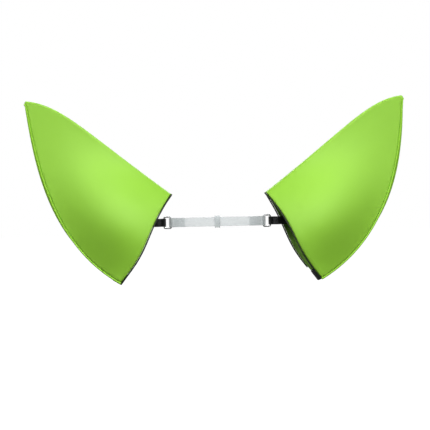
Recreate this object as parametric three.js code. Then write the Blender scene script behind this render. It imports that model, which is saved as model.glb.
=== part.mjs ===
// A pair of pointed costume wings that sit on the shoulders like tall shoulder caps.
// Each wing is two leaf-shaped foam panels, front and back, covered with green fabric,
// lined, and joined along the upper ridge. The hem and the armhole stay open for the arm.
// A soft pad rests on the shoulder, an elastic strap goes round the armpit side of the arm,
// and one more elastic joins the two wings behind the upper back.
//
// Millimetres, +Z up, +X to the wearer's left, -Y to the front. The origin lies midway
// between the two wings, at the height of the tops of the shoulders.
// The right wing is a mirror image of the left one, apart from its slightly flatter hem.

import * as THREE from 'three';

// Finished outline of a wing from the front: [distance from the middle, height].
const NECK_POINT = [78, 10];
const RIDGE_PULLS = [[223, 118], [262, 169]];
const TIP_POINT = [328, 175];
// The hems were cut by hand, so the right one is a little flatter.
const HEM_PULLS = {
  left: [[298, -72], [322, 58]],
  right: [[283, -76], [309, 58]],
};
const ARMPIT_POINT = [167, -139];
const ARMHOLE_WAVE = 4;         // sideways S of the armhole edge, against its chord
const ARMHOLE_HOLLOW = 3;       // how far that edge bows towards the neck
const BACK_HEM_SPREAD = { left: 6, right: 3.5 };  // how much wider the back panel is cut
const SPREAD_WAY = [0.87, -0.5];

// Depth of a wing, front to back.
const EDGE_DEPTH = 5.3;         // half depth at the ridge and at the tip
const ARMPIT_DEPTH = 46;        // what the open hem adds at the armpit
const HEM_CLOSING = 2.6;        // how soon the hem closes towards the tip
const FRONT_BULGE = 60;
const BACK_BULGE = 54;
const BULGE_START = 0.28;       // phase of the bulge at the armhole
const SHOULDER_ROUNDING = 0.85; // below 1 the ridge is round beside the neck
const HEM_TUCK = 1.1;           // above 1 the bulge sits low, away from the ridge
const HEM_FLARE = 0.4;          // how softly the bulge runs out at the hem
const SHAPED_BY = 0.5;          // share of the length by which tuck and flare are complete
const TIP_FLATNESS = 5;         // how soon the bulge dies away towards the tip
const TIP_SWEEP = 36;           // how far the tip is swept back
const SWEEP_POWER = 2.2;

// Layers of a panel from outside to inside.
const COVER = 0.8;
const FOAM = 3.0;
const LINING = 0.6;
const LAYER_GAP = 0.25;
const PANEL = COVER + FOAM + LINING + 2 * LAYER_GAP;
const HALF_CLEARANCE = 0.5;     // each panel stays this far from the middle surface
const STEEPEST = 2.4;           // longest cut through a layer, in thicknesses

// Edges of a panel, measured in from the finished outline.
const RIDGE_INSET = 2.6;
const HEM_INSET = 4.6;
const ARMHOLE_INSET = 4.2;
const TIP_INSET = 7;
const COLUMNS = 12;
const ROWS = 9;

// Edge trims.
const BINDING_RADIUS = 2.1;
const PIPING_RADIUS = 1.6;
const TRIM_SIDES = 6;
const CLEAR = 0.35;

// Flat stay in its casing, under the ridge.
const STAY_THICK = 1;
const STAY_WIDE = 7;
const CASING_WALL = 0.6;
const STAY_FROM = 0.06;
const STAY_TO = 0.46;
const STAY_DROP = 13;           // centre line of the stay below the finished ridge
const STAY_STATIONS = 10;

// Shoulder pad and the web that hangs it from the ridge.
const PAD_MIDDLE = [141, 2, -17];
const PAD_SLOPE = 14;           // degrees, outer end down
const PAD_LENGTH = 86;
const PAD_INNER_HALF_WIDTH = 13;
const PAD_OUTER_HALF_WIDTH = 30;
const PAD_EDGE = 4;
const PAD_CROWN = 4.5;          // height of the crown above the edge
const PAD_SIDES = 22;
const PAD_FULLNESS = 0.25;      // how much the long sides swell
const PAD_PROFILE = [[1, 0], [1.03, 0.5], [1, 1]];           // size, share of the edge
const CROWN_PROFILE = [[0.8, 0.55], [0.5, 0.84], [0.18, 1]]; // size, share of the crown
const WEB_FROM = 0.14;          // shares of the ridge's length
const WEB_TO = 0.36;
const WEB_STATIONS = 6;
const WEB_THICK = 1.6;

// Elastic strap on the armpit side of the arm, in its own tilted frame.
const STRAP_MIDDLE = [190.4, 9, -111.2];
const STRAP_TILT = 37;          // degrees, inner side lower
const STRAP_WIDE = 20;
const STRAP_THICK = 1.6;
const TAB_THICK = 1;            // one layer of the webbing tabs
const STRAP_ROUTE = [[5, -33], [-6, -34.5], [-17, -33], [-28, -26.5], [-34, -17], [-36.2, -8]];
const RING_MIDDLE = [-4, 26.2];
const TAB_TAIL = [[17.5, 29.6], [11, 30.2]];
const RUN_DIRECTION = 47;       // degrees, from the inner side to the ring
const RING_SPAN = 12;           // between the centres of the ring's two bars
const BAR = 2.4;
const LOOP_INSIDE = 2.6;        // inner radius of the loops round a bar
const DOUBLED = 30;             // length of strap folded back from the ring
const KEEPER_LONG = 9;
const KEEPER_WALL = 2.2;
const KEEPER_PLAY = 0.6;
const RING_PLAY = 1.2;          // how much longer a ring's slot is than the strap is wide
const EYE_TURNS = 16;           // straight pieces in a loop round a bar
const PATCH_LONG = 12;
const PATCH_WIDER = 4;          // the patch against the strap
const PATCH_THICK = 1;
const PATCH_GAP = 0.2;
const TAB_NECK = [1, 0.35];     // way from the ring's bar to the tab's neck

// Elastic that joins the wings behind the back.
const LINK_PIVOT = [80, 40, -38];
const LINK_WIDE = 16;
const LINK_THICK = 1.6;
const LINK_DOUBLED = 24;
const LINK_LOOP_INSIDE = 2.3;
const LINK_TAB_TAIL = [[126, 48.8], [116, 44.3], [105, 37.5]];

const material = (color, roughness, metalness = 0) =>
  new THREE.MeshStandardMaterial({ color, roughness, metalness });
const green = material('#9fd957', 0.62);
const edgeGreen = material('#a9e060', 0.6);
const darkBinding = material('#1f2a12', 0.75);
const foam = material('#d9dcd2', 0.9);
const lining = material('#84b63f', 0.8);
const padFabric = material('#86b845', 0.85);
const elastic = material('#17181a', 0.7);
const clearElastic = material('#e4eaea', 0.3);
const clearPlastic = material('#e9eeee', 0.25);
const webbing = material('#1c1d1f', 0.8);
const springSteel = material('#b9bdc2', 0.35, 1);
const wire = material('#c4c7ca', 0.3, 1);
const plastic = material('#121314', 0.45);

const radians = THREE.MathUtils.degToRad;
const point2 = ([x, y]) => new THREE.Vector2(x, y);

const ridgeCurve = new THREE.CubicBezierCurve(
  point2(NECK_POINT), ...RIDGE_PULLS.map(point2), point2(TIP_POINT));
const hemCurve = (hand) => new THREE.CubicBezierCurve(
  point2(ARMPIT_POINT), ...HEM_PULLS[hand].map(point2), point2(TIP_POINT));

// ---------------------------------------------------------------- closed solids

// Turns the faces outwards if the signed volume is negative.
function facingOut(geometry) {
  const p = geometry.getAttribute('position');
  const index = geometry.index.array;
  const [a, b, c] = [new THREE.Vector3(), new THREE.Vector3(), new THREE.Vector3()];
  let volume = 0;
  for (let i = 0; i < index.length; i += 3) {
    a.fromBufferAttribute(p, index[i]);
    b.fromBufferAttribute(p, index[i + 1]);
    c.fromBufferAttribute(p, index[i + 2]);
    volume += a.dot(b.cross(c));
  }
  if (volume < 0) {
    for (let i = 0; i < index.length; i += 3) {
      [index[i + 1], index[i + 2]] = [index[i + 2], index[i + 1]];
    }
  }
  return geometry;
}

function solidFrom(points, faces) {
  const geometry = new THREE.BufferGeometry();
  geometry.setFromPoints(points);
  geometry.setIndex(faces);
  return facingOut(geometry);
}

// A sheet with thickness: two matching grids of points joined round the rim.
function sheetSolid(outer, inner) {
  const columns = outer.length;
  const rows = outer[0].length;
  const points = [...outer.flat(), ...inner.flat()];
  const at = (side, i, j) => side * columns * rows + i * rows + j;
  const faces = [];
  const quad = (a, b, c, d) => faces.push(a, b, c, a, c, d);
  for (let i = 0; i + 1 < columns; i++) {
    for (let j = 0; j + 1 < rows; j++) {
      quad(at(0, i, j), at(0, i + 1, j), at(0, i + 1, j + 1), at(0, i, j + 1));
      faces.push(at(1, i, j), at(1, i + 1, j + 1), at(1, i + 1, j));
      faces.push(at(1, i, j), at(1, i, j + 1), at(1, i + 1, j + 1));
    }
    quad(at(0, i, 0), at(1, i, 0), at(1, i + 1, 0), at(0, i + 1, 0));
    quad(at(0, i + 1, rows - 1), at(1, i + 1, rows - 1), at(1, i, rows - 1), at(0, i, rows - 1));
  }
  for (let j = 0; j + 1 < rows; j++) {
    quad(at(0, 0, j + 1), at(1, 0, j + 1), at(1, 0, j), at(0, 0, j));
    quad(at(0, columns - 1, j), at(1, columns - 1, j), at(1, columns - 1, j + 1),
      at(0, columns - 1, j + 1));
  }
  return solidFrom(points, faces);
}

// A bar through a row of matching convex rings, closed at both ends.
function ringSolid(rings) {
  const sides = rings[0].length;
  const faces = [];
  for (let i = 0; i + 1 < rings.length; i++) {
    for (let k = 0; k < sides; k++) {
      const next = (k + 1) % sides;
      const a = i * sides + k;
      const b = i * sides + next;
      faces.push(a, b, b + sides, a, b + sides, a + sides);
    }
  }
  const last = (rings.length - 1) * sides;
  for (let k = 1; k + 1 < sides; k++) {
    faces.push(0, k + 1, k, last, last + k, last + k + 1);
  }
  return solidFrom(rings.flat(), faces);
}

// A sleeve through matching outer and inner rings, open at both ends.
function sleeveSolid(outerRings, innerRings) {
  const sides = outerRings[0].length;
  const count = outerRings.length;
  const points = [...outerRings.flat(), ...innerRings.flat()];
  const at = (side, i, k) => side * count * sides + i * sides + (k % sides);
  const faces = [];
  const quad = (a, b, c, d) => faces.push(a, b, c, a, c, d);
  for (let k = 0; k < sides; k++) {
    for (let i = 0; i + 1 < count; i++) {
      quad(at(0, i, k), at(0, i, k + 1), at(0, i + 1, k + 1), at(0, i + 1, k));
      quad(at(1, i, k), at(1, i + 1, k), at(1, i + 1, k + 1), at(1, i, k + 1));
    }
    quad(at(0, 0, k), at(1, 0, k), at(1, 0, k + 1), at(0, 0, k + 1));
    quad(at(0, count - 1, k), at(0, count - 1, k + 1), at(1, count - 1, k + 1),
      at(1, count - 1, k));
  }
  return solidFrom(points, faces);
}

// A round trim whose centre line runs through the given points.
function trimSolid(centres, radius) {
  const rings = centres.map((centre, i) => {
    const along = centres[Math.min(i + 1, centres.length - 1)].clone()
      .sub(centres[Math.max(i - 1, 0)]).normalize();
    const across = new THREE.Vector3(0, 1, 0).cross(along);
    if (across.length() < 0.3) across.set(1, 0, 0).cross(along);
    across.normalize();
    const up = along.clone().cross(across);
    return Array.from({ length: TRIM_SIDES }, (_, k) => {
      const turn = (k * 2 * Math.PI) / TRIM_SIDES;
      return centre.clone()
        .addScaledVector(across, radius * Math.cos(turn))
        .addScaledVector(up, radius * Math.sin(turn));
    });
  });
  return ringSolid(rings);
}

// ---------------------------------------------------------------- shape of a wing

// What tells the four panels apart. Facing is -1 to the front and 1 to the back.
function panelOf(hand, side) {
  const front = side === 'front';
  return {
    hem: hemCurve(hand),
    facing: front ? -1 : 1,
    bulge: front ? FRONT_BULGE : BACK_BULGE,
    spread: front ? 0 : BACK_HEM_SPREAD[hand],
  };
}

// Middle surface between the front and the back of a wing.
function sweepBack(x) {
  const out = Math.max(0, x - NECK_POINT[0]) / (TIP_POINT[0] - NECK_POINT[0]);
  return TIP_SWEEP * out ** SWEEP_POWER;
}

// Point of the outline plane on the rib at u (armhole 0, tip 1), v down the rib.
function ribPoint(panel, u, v) {
  const top = ridgeCurve.getPointAt(u);
  const foot = panel.hem.getPointAt(u);
  foot.addScaledVector(point2(SPREAD_WAY), panel.spread * Math.sin(Math.PI * u));
  const place = top.lerp(foot, v);
  const armhole = (1 - u) ** 4;
  place.x += armhole * ARMHOLE_WAVE * Math.sin(2 * Math.PI * v);
  place.x -= armhole * ARMHOLE_HOLLOW * Math.sin(Math.PI * v);
  return place;
}

// Distance from the middle surface to the outside of the cover.
function halfDepth(panel, u, v) {
  const open = ARMPIT_DEPTH * (1 - u) ** HEM_CLOSING;
  const phase = Math.PI * (BULGE_START + (1 - BULGE_START) * u);
  const swell = panel.bulge * Math.sin(phase) ** 2 * (1 - u * u) ** TIP_FLATNESS;
  const shaped = Math.min(1, u / SHAPED_BY);
  const rounding = THREE.MathUtils.lerp(SHOULDER_ROUNDING, HEM_TUCK, shaped);
  const arch = Math.max(0, Math.sin(Math.PI * v ** rounding));
  return EDGE_DEPTH + open * v + swell * arch ** (1 + HEM_FLARE * shaped);
}

// Length of a cut straight through a layer, against its thickness.
function steepness(panel, u, v) {
  const step = 0.01;
  const at = (a, b) => {
    const place = ribPoint(panel, a, b);
    return new THREE.Vector3(place.x, halfDepth(panel, a, b), place.y);
  };
  const [u0, u1] = [Math.max(0, u - step), Math.min(1, u + step)];
  const [v0, v1] = [Math.max(0.005, v - step), Math.min(1, v + step)];
  const normal = at(u1, v).sub(at(u0, v)).cross(at(u, v1).sub(at(u, v0))).normalize();
  return Math.min(STEEPEST, 1 / Math.max(0.01, Math.abs(normal.y)));
}

// Point of a panel at a depth below the outside of its cover.
function panelPoint(panel, u, v, depth) {
  const place = ribPoint(panel, u, v);
  const half = halfDepth(panel, u, v);
  const cut = Math.min(steepness(panel, u, v), (half - HALF_CLEARANCE) / PANEL);
  const y = sweepBack(place.x) + panel.facing * (half - depth * cut);
  return new THREE.Vector3(place.x, y, place.y);
}

// Where a panel ends on each rib, inside the finished outline.
function ribSpan(panel, u) {
  const top = ribPoint(panel, u, 0);
  const foot = ribPoint(panel, u, 1);
  const rib = foot.clone().sub(top);
  const lean = (curve) => Math.abs(rib.clone().normalize().cross(curve.getTangentAt(u)));
  const from = RIDGE_INSET / (lean(ridgeCurve) * rib.length());
  const to = 1 - HEM_INSET / (lean(panel.hem) * rib.length());
  return [from, to];
}

const FIRST_RIB = ARMHOLE_INSET / ridgeCurve.getLength();
const LAST_RIB = 1 - TIP_INSET / ridgeCurve.getLength();
const ribAt = (i) => THREE.MathUtils.lerp(FIRST_RIB, LAST_RIB, i / COLUMNS);

function gridPoint(panel, i, j, depth) {
  const u = ribAt(i);
  const [from, to] = ribSpan(panel, u);
  return panelPoint(panel, u, THREE.MathUtils.lerp(from, to, j / ROWS), depth);
}

function panelLayer(panel, outside, thick) {
  const grid = (depth) => Array.from({ length: COLUMNS + 1 }, (_, i) =>
    Array.from({ length: ROWS + 1 }, (_, j) => gridPoint(panel, i, j, depth)));
  return sheetSolid(grid(outside), grid(outside + thick));
}

const cover = (panel) => panelLayer(panel, 0, COVER);
const core = (panel) => panelLayer(panel, COVER + LAYER_GAP, FOAM);
const liningOf = (panel) => panelLayer(panel, COVER + FOAM + 2 * LAYER_GAP, LINING);

// ---------------------------------------------------------------- edge trims

// Centre of a trim that lies against a panel's edge: the edge point moved off the panel,
// square to the edge as seen from the front.
function besideEdge(edge, inside, ahead, behind, radius) {
  const along = ahead.clone().sub(behind).setY(0).normalize();
  const away = edge.clone().sub(inside).setY(0);
  away.addScaledVector(along, -away.dot(along)).normalize();
  return edge.clone().addScaledVector(away, radius + CLEAR);
}

function hemBinding(panel) {
  const middle = (i, j) => gridPoint(panel, i, j, PANEL / 2);
  const centres = [];
  for (let i = 0; i <= COLUMNS; i++) {
    const ahead = middle(Math.min(i + 1, COLUMNS), ROWS);
    const behind = middle(Math.max(i - 1, 0), ROWS);
    centres.push(besideEdge(middle(i, ROWS), middle(i, ROWS - 1), ahead, behind, BINDING_RADIUS));
  }
  const end = centres[COLUMNS];
  const onward = end.clone().sub(centres[COLUMNS - 1]).normalize();
  centres.push(end.clone().addScaledVector(onward, TIP_INSET / 2));
  return trimSolid(centres, BINDING_RADIUS);
}

// One binding for the whole armhole: up the front edge, over the ridge, down the back edge.
function armholeBinding(frontPanel, backPanel) {
  const edgeOf = (panel) => {
    const middle = (i, j) => gridPoint(panel, i, j, PANEL / 2);
    return Array.from({ length: ROWS + 1 }, (_, j) => besideEdge(middle(0, j), middle(1, j),
      middle(0, Math.min(j + 1, ROWS)), middle(0, Math.max(j - 1, 0)), BINDING_RADIUS));
  };
  const front = edgeOf(frontPanel).reverse();
  const back = edgeOf(backPanel);
  const over = front[ROWS].clone().lerp(back[0], 0.5);
  over.x -= BINDING_RADIUS / 2;
  return trimSolid([...front, over, ...back], BINDING_RADIUS);
}

function ridgePiping() {
  const centres = [];
  for (let i = 0; i <= 2 * COLUMNS; i++) {
    const u = ribAt(i / 2);
    const top = ridgeCurve.getPointAt(u);
    const tangent = ridgeCurve.getTangentAt(u);
    const drop = PIPING_RADIUS / 2;
    const x = top.x + tangent.y * drop;
    centres.push(new THREE.Vector3(x, sweepBack(x), top.y - tangent.x * drop));
  }
  return trimSolid(centres, PIPING_RADIUS);
}

// ---------------------------------------------------------------- stay under the ridge

function stayStations(thick, wide) {
  return Array.from({ length: STAY_STATIONS + 1 }, (_, i) => {
    const u = THREE.MathUtils.lerp(STAY_FROM, STAY_TO, i / STAY_STATIONS);
    const top = ridgeCurve.getPointAt(u);
    const tangent = ridgeCurve.getTangentAt(u);
    const corner = (across, down) => {
      const x = top.x + tangent.y * (STAY_DROP + down);
      return new THREE.Vector3(x, sweepBack(x) + across, top.y - tangent.x * (STAY_DROP + down));
    };
    const [a, d] = [thick / 2, wide / 2];
    return [corner(-a, -d), corner(a, -d), corner(a, d), corner(-a, d)];
  });
}

const ridgeStay = () => ringSolid(stayStations(STAY_THICK, STAY_WIDE));

function stayCasing() {
  const bore = [STAY_THICK + 2 * CLEAR, STAY_WIDE + 2 * CLEAR];
  const skin = bore.map((size) => size + 2 * CASING_WALL);
  return sleeveSolid(stayStations(...skin), stayStations(...bore));
}

// ---------------------------------------------------------------- shoulder pad

// Egg-shaped cushion: flat underneath, crowned on top, narrow towards the neck.
function shoulderPad() {
  const outline = (turn) => {
    const x = (PAD_LENGTH / 2) * Math.cos(turn);
    const wide = THREE.MathUtils.lerp(
      PAD_INNER_HALF_WIDTH, PAD_OUTER_HALF_WIDTH, 0.5 + x / PAD_LENGTH);
    const full = 1 + PAD_FULLNESS * (1 - Math.abs(Math.cos(turn)));
    return [x, wide * Math.sin(turn) * full];
  };
  const ring = (scale, z) => Array.from({ length: PAD_SIDES }, (_, k) => {
    const [x, y] = outline((k * 2 * Math.PI) / PAD_SIDES);
    return new THREE.Vector3(x * scale, y * scale, z);
  });
  return ringSolid([
    ...PAD_PROFILE.map(([scale, share]) => ring(scale, share * PAD_EDGE)),
    ...CROWN_PROFILE.map(([scale, share]) => ring(scale, PAD_EDGE + share * PAD_CROWN)),
  ]);
}

// Flat web between the pad's crown and the stay's casing.
function padWeb() {
  const lower = STAY_DROP + STAY_WIDE / 2 + CASING_WALL + 2 * CLEAR;
  const slope = Math.tan(radians(PAD_SLOPE));
  const padTop = PAD_MIDDLE[2] + (PAD_EDGE + PAD_CROWN) / Math.cos(radians(PAD_SLOPE)) + CLEAR;
  const stations = Array.from({ length: WEB_STATIONS + 1 }, (_, i) => {
    const u = THREE.MathUtils.lerp(WEB_FROM, WEB_TO, i / WEB_STATIONS);
    const top = ridgeCurve.getPointAt(u);
    const tangent = ridgeCurve.getTangentAt(u);
    const x = top.x + tangent.y * lower;
    const high = top.y - tangent.x * lower;
    const low = padTop - (x - PAD_MIDDLE[0]) * slope;
    const y = sweepBack(x);
    const corner = (across, z) => new THREE.Vector3(x, y + across * WEB_THICK / 2, z);
    return [corner(-1, high), corner(1, high), corner(1, low), corner(-1, low)];
  });
  return ringSolid(stations);
}

// ---------------------------------------------------------------- straps and hardware

const turned = (angle, length) =>
  new THREE.Vector2(Math.cos(radians(angle)), Math.sin(radians(angle))).multiplyScalar(length);

function roundHole(centre, radius) {
  return new THREE.Path(Array.from({ length: EYE_TURNS }, (_, k) =>
    turned((360 * k) / EYE_TURNS, radius).add(centre)));
}

// Edge-on outline of a strap along a route, from its plain end to a loop round a bar.
// The last stretch before the loop is doubled.
function loopedStrap(route, doubledFrom, bar, thick, loopInside) {
  const loopOutside = loopInside + thick;
  const left = [];
  const right = [];
  route.forEach((place, i) => {
    const along = route[Math.min(i + 1, route.length - 1)].clone()
      .sub(route[Math.max(i - 1, 0)]).normalize();
    const across = new THREE.Vector2(-along.y, along.x);
    const half = i < doubledFrom ? thick / 2 : thick;
    left.push(place.clone().addScaledVector(across, half));
    right.push(place.clone().addScaledVector(across, -half));
  });
  const back = route[route.length - 1].clone().sub(bar);
  const spread = Math.asin(thick / loopOutside);
  const start = back.angle() - spread;
  const loop = Array.from({ length: EYE_TURNS + 1 }, (_, k) => {
    const turn = start - (k / EYE_TURNS) * (2 * Math.PI - 2 * spread);
    return bar.clone().add(new THREE.Vector2(Math.cos(turn), Math.sin(turn))
      .multiplyScalar(loopOutside));
  });
  const shape = new THREE.Shape([...left, ...loop, ...right.reverse()]);
  shape.holes.push(roundHole(bar, loopInside));
  return shape;
}

// A flat piece stood on edge: the outline is seen along its width.
function acrossWidth(shape, wide) {
  const geometry = new THREE.ExtrudeGeometry(shape,
    { depth: wide, bevelEnabled: false, curveSegments: 8 });
  geometry.translate(0, 0, -wide / 2);
  return geometry;
}

function rectangle(long, high) {
  const shape = new THREE.Shape();
  shape.moveTo(-long / 2, -high / 2);
  shape.lineTo(long / 2, -high / 2);
  shape.lineTo(long / 2, high / 2);
  shape.lineTo(-long / 2, high / 2);
  shape.closePath();
  return shape;
}

// Rectangular wire ring: its two long bars run along Z, a span apart along X.
function wireRing(span, high) {
  const shape = rectangle(span + BAR, high + 2 * BAR);
  shape.holes.push(rectangle(span - BAR, high));
  const geometry = acrossWidth(shape, BAR);
  return geometry.rotateX(Math.PI / 2);
}

// Flat keeper that slides along X over a strap.
function keeper(wide, thick) {
  const bore = [thick + 2 * KEEPER_PLAY, wide + 2 * KEEPER_PLAY];
  const shape = rectangle(bore[0] + 2 * KEEPER_WALL, bore[1] + 2 * KEEPER_WALL);
  shape.holes.push(rectangle(...bore));
  return acrossWidth(shape, KEEPER_LONG).rotateY(Math.PI / 2).rotateX(Math.PI / 2);
}

const ringCentre = point2(RING_MIDDLE);
const innerBar = ringCentre.clone().add(turned(RUN_DIRECTION, -RING_SPAN / 2));
const outerBar = ringCentre.clone().add(turned(RUN_DIRECTION, RING_SPAN / 2));

function armStrapShape() {
  const runEnd = innerBar.clone().add(turned(RUN_DIRECTION, -LOOP_INSIDE - 2 * STRAP_THICK));
  const runStart = runEnd.clone().add(turned(RUN_DIRECTION, -DOUBLED));
  const bend = new THREE.SplineCurve([...STRAP_ROUTE.map(point2), runStart]).getPoints(20);
  const step = turned(RUN_DIRECTION, 0.5);
  const doubled = runStart.clone().add(step);
  return loopedStrap([...bend, doubled, runEnd], bend.length, innerBar, STRAP_THICK, LOOP_INSIDE);
}

// Webbing tab: a loop round the ring's outer bar and a tail sewn to the back lining.
function backTabShape() {
  const neck = outerBar.clone()
    .add(point2(TAB_NECK).setLength(LOOP_INSIDE + 2 * TAB_THICK));
  return loopedStrap([...TAB_TAIL.map(point2), neck], 1, outerBar, TAB_THICK, LOOP_INSIDE);
}

function inStrapFrame(geometry) {
  geometry.rotateY(radians(-STRAP_TILT));
  return geometry.translate(...STRAP_MIDDLE);
}

function ringOnStrap() {
  const geometry = wireRing(RING_SPAN, STRAP_WIDE + RING_PLAY);
  geometry.rotateZ(radians(RUN_DIRECTION));
  return inStrapFrame(geometry.translate(ringCentre.x, ringCentre.y, 0));
}

function keeperOnStrap() {
  const middle = innerBar.clone().add(turned(RUN_DIRECTION, -LOOP_INSIDE - DOUBLED / 2));
  const geometry = keeper(STRAP_WIDE, 2 * STRAP_THICK);
  geometry.rotateZ(radians(RUN_DIRECTION));
  return inStrapFrame(geometry.translate(middle.x, middle.y, 0));
}

function frontPatch() {
  const geometry = new THREE.BoxGeometry(PATCH_LONG, PATCH_THICK, STRAP_WIDE + PATCH_WIDER);
  const [x, y] = STRAP_ROUTE[0];
  const out = STRAP_THICK / 2 + CLEAR + PATCH_GAP + PATCH_THICK / 2;
  return inStrapFrame(geometry.translate(x - PATCH_LONG / 2, y + out, 0));
}

function linkTabShape() {
  const bar = new THREE.Vector2(LINK_PIVOT[0] + RING_SPAN, LINK_PIVOT[1]);
  const neck = bar.clone().add(new THREE.Vector2(LINK_LOOP_INSIDE + 2 * TAB_THICK, 0));
  return loopedStrap([...LINK_TAB_TAIL.map(point2), neck], 1, bar, TAB_THICK, LINK_LOOP_INSIDE);
}

function linkStrapShape() {
  const [x, y] = LINK_PIVOT;
  const half = (side) => {
    const bar = new THREE.Vector2(side * x, y);
    const loopOutside = LINK_LOOP_INSIDE + LINK_THICK;
    const spread = Math.asin(LINK_THICK / loopOutside);
    const turns = Array.from({ length: EYE_TURNS + 1 }, (_, k) => {
      const turn = Math.PI - spread - (k / EYE_TURNS) * (2 * Math.PI - 2 * spread);
      return new THREE.Vector2(bar.x + side * loopOutside * Math.cos(turn),
        bar.y + side * loopOutside * Math.sin(turn));
    });
    const neck = x - LINK_LOOP_INSIDE - LINK_DOUBLED;
    const lead = new THREE.Vector2(side * neck, y + side * LINK_THICK / 2);
    const doubled = new THREE.Vector2(side * (neck + 0.5), y + side * LINK_THICK);
    const flip = ([a, b]) => new THREE.Vector2(a, 2 * y - b);
    return [lead, doubled, ...turns, flip(doubled.toArray()), flip(lead.toArray())];
  };
  const shape = new THREE.Shape([...half(1), ...half(-1)]);
  for (const side of [1, -1]) {
    shape.holes.push(roundHole(new THREE.Vector2(side * x, y), LINK_LOOP_INSIDE));
  }
  return shape;
}

const atLinkHeight = (geometry) => geometry.translate(0, 0, LINK_PIVOT[2]);

function linkRing() {
  const geometry = wireRing(RING_SPAN, LINK_WIDE + RING_PLAY);
  return geometry.translate(LINK_PIVOT[0] + RING_SPAN / 2, LINK_PIVOT[1], LINK_PIVOT[2]);
}

// ---------------------------------------------------------------- assembly

function mirrored(geometry) {
  const copy = geometry.clone();
  copy.scale(-1, 1, 1);
  if (!copy.index) {
    copy.setIndex(Array.from({ length: copy.getAttribute('position').count }, (_, i) => i));
  }
  return facingOut(copy);
}

function placedPad() {
  const geometry = shoulderPad();
  geometry.rotateY(radians(PAD_SLOPE));
  return geometry.translate(...PAD_MIDDLE);
}

function shellPieces(hand) {
  const front = panelOf(hand, 'front');
  const back = panelOf(hand, 'back');
  return {
    front_cover: [cover(front), green],
    back_cover: [cover(back), green],
    front_core: [core(front), foam],
    back_core: [core(back), foam],
    front_lining: [liningOf(front), lining],
    back_lining: [liningOf(back), lining],
    front_hem_binding: [hemBinding(front), edgeGreen],
    back_hem_binding: [hemBinding(back), edgeGreen],
    armhole_binding: [armholeBinding(front, back), darkBinding],
  };
}

const innerPieces = {
  ridge_piping: [ridgePiping(), edgeGreen],
  ridge_stay: [ridgeStay(), springSteel],
  stay_casing: [stayCasing(), webbing],
  shoulder_pad: [placedPad(), padFabric],
  pad_web: [padWeb(), lining],
  arm_strap: [inStrapFrame(acrossWidth(armStrapShape(), STRAP_WIDE)), elastic],
  front_strap_patch: [frontPatch(), webbing],
  back_strap_tab: [inStrapFrame(acrossWidth(backTabShape(), STRAP_WIDE - 2)), webbing],
  strap_ring: [ringOnStrap(), wire],
  strap_keeper: [keeperOnStrap(), plastic],
  link_tab: [atLinkHeight(acrossWidth(linkTabShape(), LINK_WIDE - 2)), webbing],
  link_ring: [linkRing(), wire],
};

const group = new THREE.Group();

function add(name, geometry, finish) {
  const mesh = new THREE.Mesh(geometry, finish);
  mesh.name = name;
  group.add(mesh);
}

for (const [name, [geometry, finish]] of Object.entries({ ...shellPieces('left'), ...innerPieces })) {
  add(`left_${name}`, geometry, finish);
}
for (const [name, [geometry, finish]] of Object.entries({ ...shellPieces('right'), ...innerPieces })) {
  add(`right_${name}`, mirrored(geometry), finish);
}
add('link_strap', atLinkHeight(acrossWidth(linkStrapShape(), LINK_WIDE)), clearElastic);
const linkKeeper = keeper(LINK_WIDE, LINK_THICK);
add('link_keeper', linkKeeper.translate(0, LINK_PIVOT[1], LINK_PIVOT[2]), clearPlastic);

export default group;
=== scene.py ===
import math

import bpy
import numpy as np
from mathutils import Matrix, Vector


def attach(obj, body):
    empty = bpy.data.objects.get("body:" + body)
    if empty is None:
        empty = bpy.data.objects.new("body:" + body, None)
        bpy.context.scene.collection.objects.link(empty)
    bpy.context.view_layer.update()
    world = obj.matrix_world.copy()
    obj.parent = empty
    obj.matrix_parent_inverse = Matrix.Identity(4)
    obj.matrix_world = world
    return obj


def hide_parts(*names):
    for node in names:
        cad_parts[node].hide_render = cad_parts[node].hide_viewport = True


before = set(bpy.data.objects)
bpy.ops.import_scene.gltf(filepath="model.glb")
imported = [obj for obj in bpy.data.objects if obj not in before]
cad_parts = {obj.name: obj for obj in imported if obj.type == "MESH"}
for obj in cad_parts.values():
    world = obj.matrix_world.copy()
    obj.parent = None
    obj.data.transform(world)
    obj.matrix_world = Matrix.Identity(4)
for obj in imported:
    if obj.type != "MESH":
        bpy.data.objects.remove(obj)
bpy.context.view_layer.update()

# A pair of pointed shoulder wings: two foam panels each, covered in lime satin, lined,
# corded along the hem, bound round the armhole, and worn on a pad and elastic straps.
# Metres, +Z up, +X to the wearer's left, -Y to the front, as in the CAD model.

MM = 0.001

# ---- sizes of a wing

# Outline, seen from the front: X and Z.
NECK_POINT = np.array([78, 10]) * MM
RIDGE_PULLS = np.array([[223, 118], [262, 169]]) * MM
TIP_POINT = np.array([328, 175]) * MM
HEM_PULLS = {"left": np.array([[298, -72], [322, 58]]) * MM,
             "right": np.array([[283, -76], [309, 58]]) * MM}
ARMPIT_POINT = np.array([167, -139]) * MM
ARMHOLE_WAVE = 4 * MM
ARMHOLE_HOLLOW = 3 * MM
BACK_HEM_SPREAD = {"left": 6 * MM, "right": 3.5 * MM}
SPREAD_WAY = np.array([0.87, -0.5])

# Depth, from the middle surface to the outside, and the tip's sweep to the back.
EDGE_DEPTH = 5.3 * MM
ARMPIT_DEPTH = 46 * MM
HEM_CLOSING = 2.6
BULGE = {"front": 60 * MM, "back": 54 * MM}
BULGE_START = 0.28
SHOULDER_ROUNDING = 0.85
HEM_TUCK = 1.1
HEM_FLARE = 0.4
SHAPED_BY = 0.5
TIP_FLATNESS = 5.0
TIP_SWEEP = 36 * MM
SWEEP_POWER = 2.2

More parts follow.
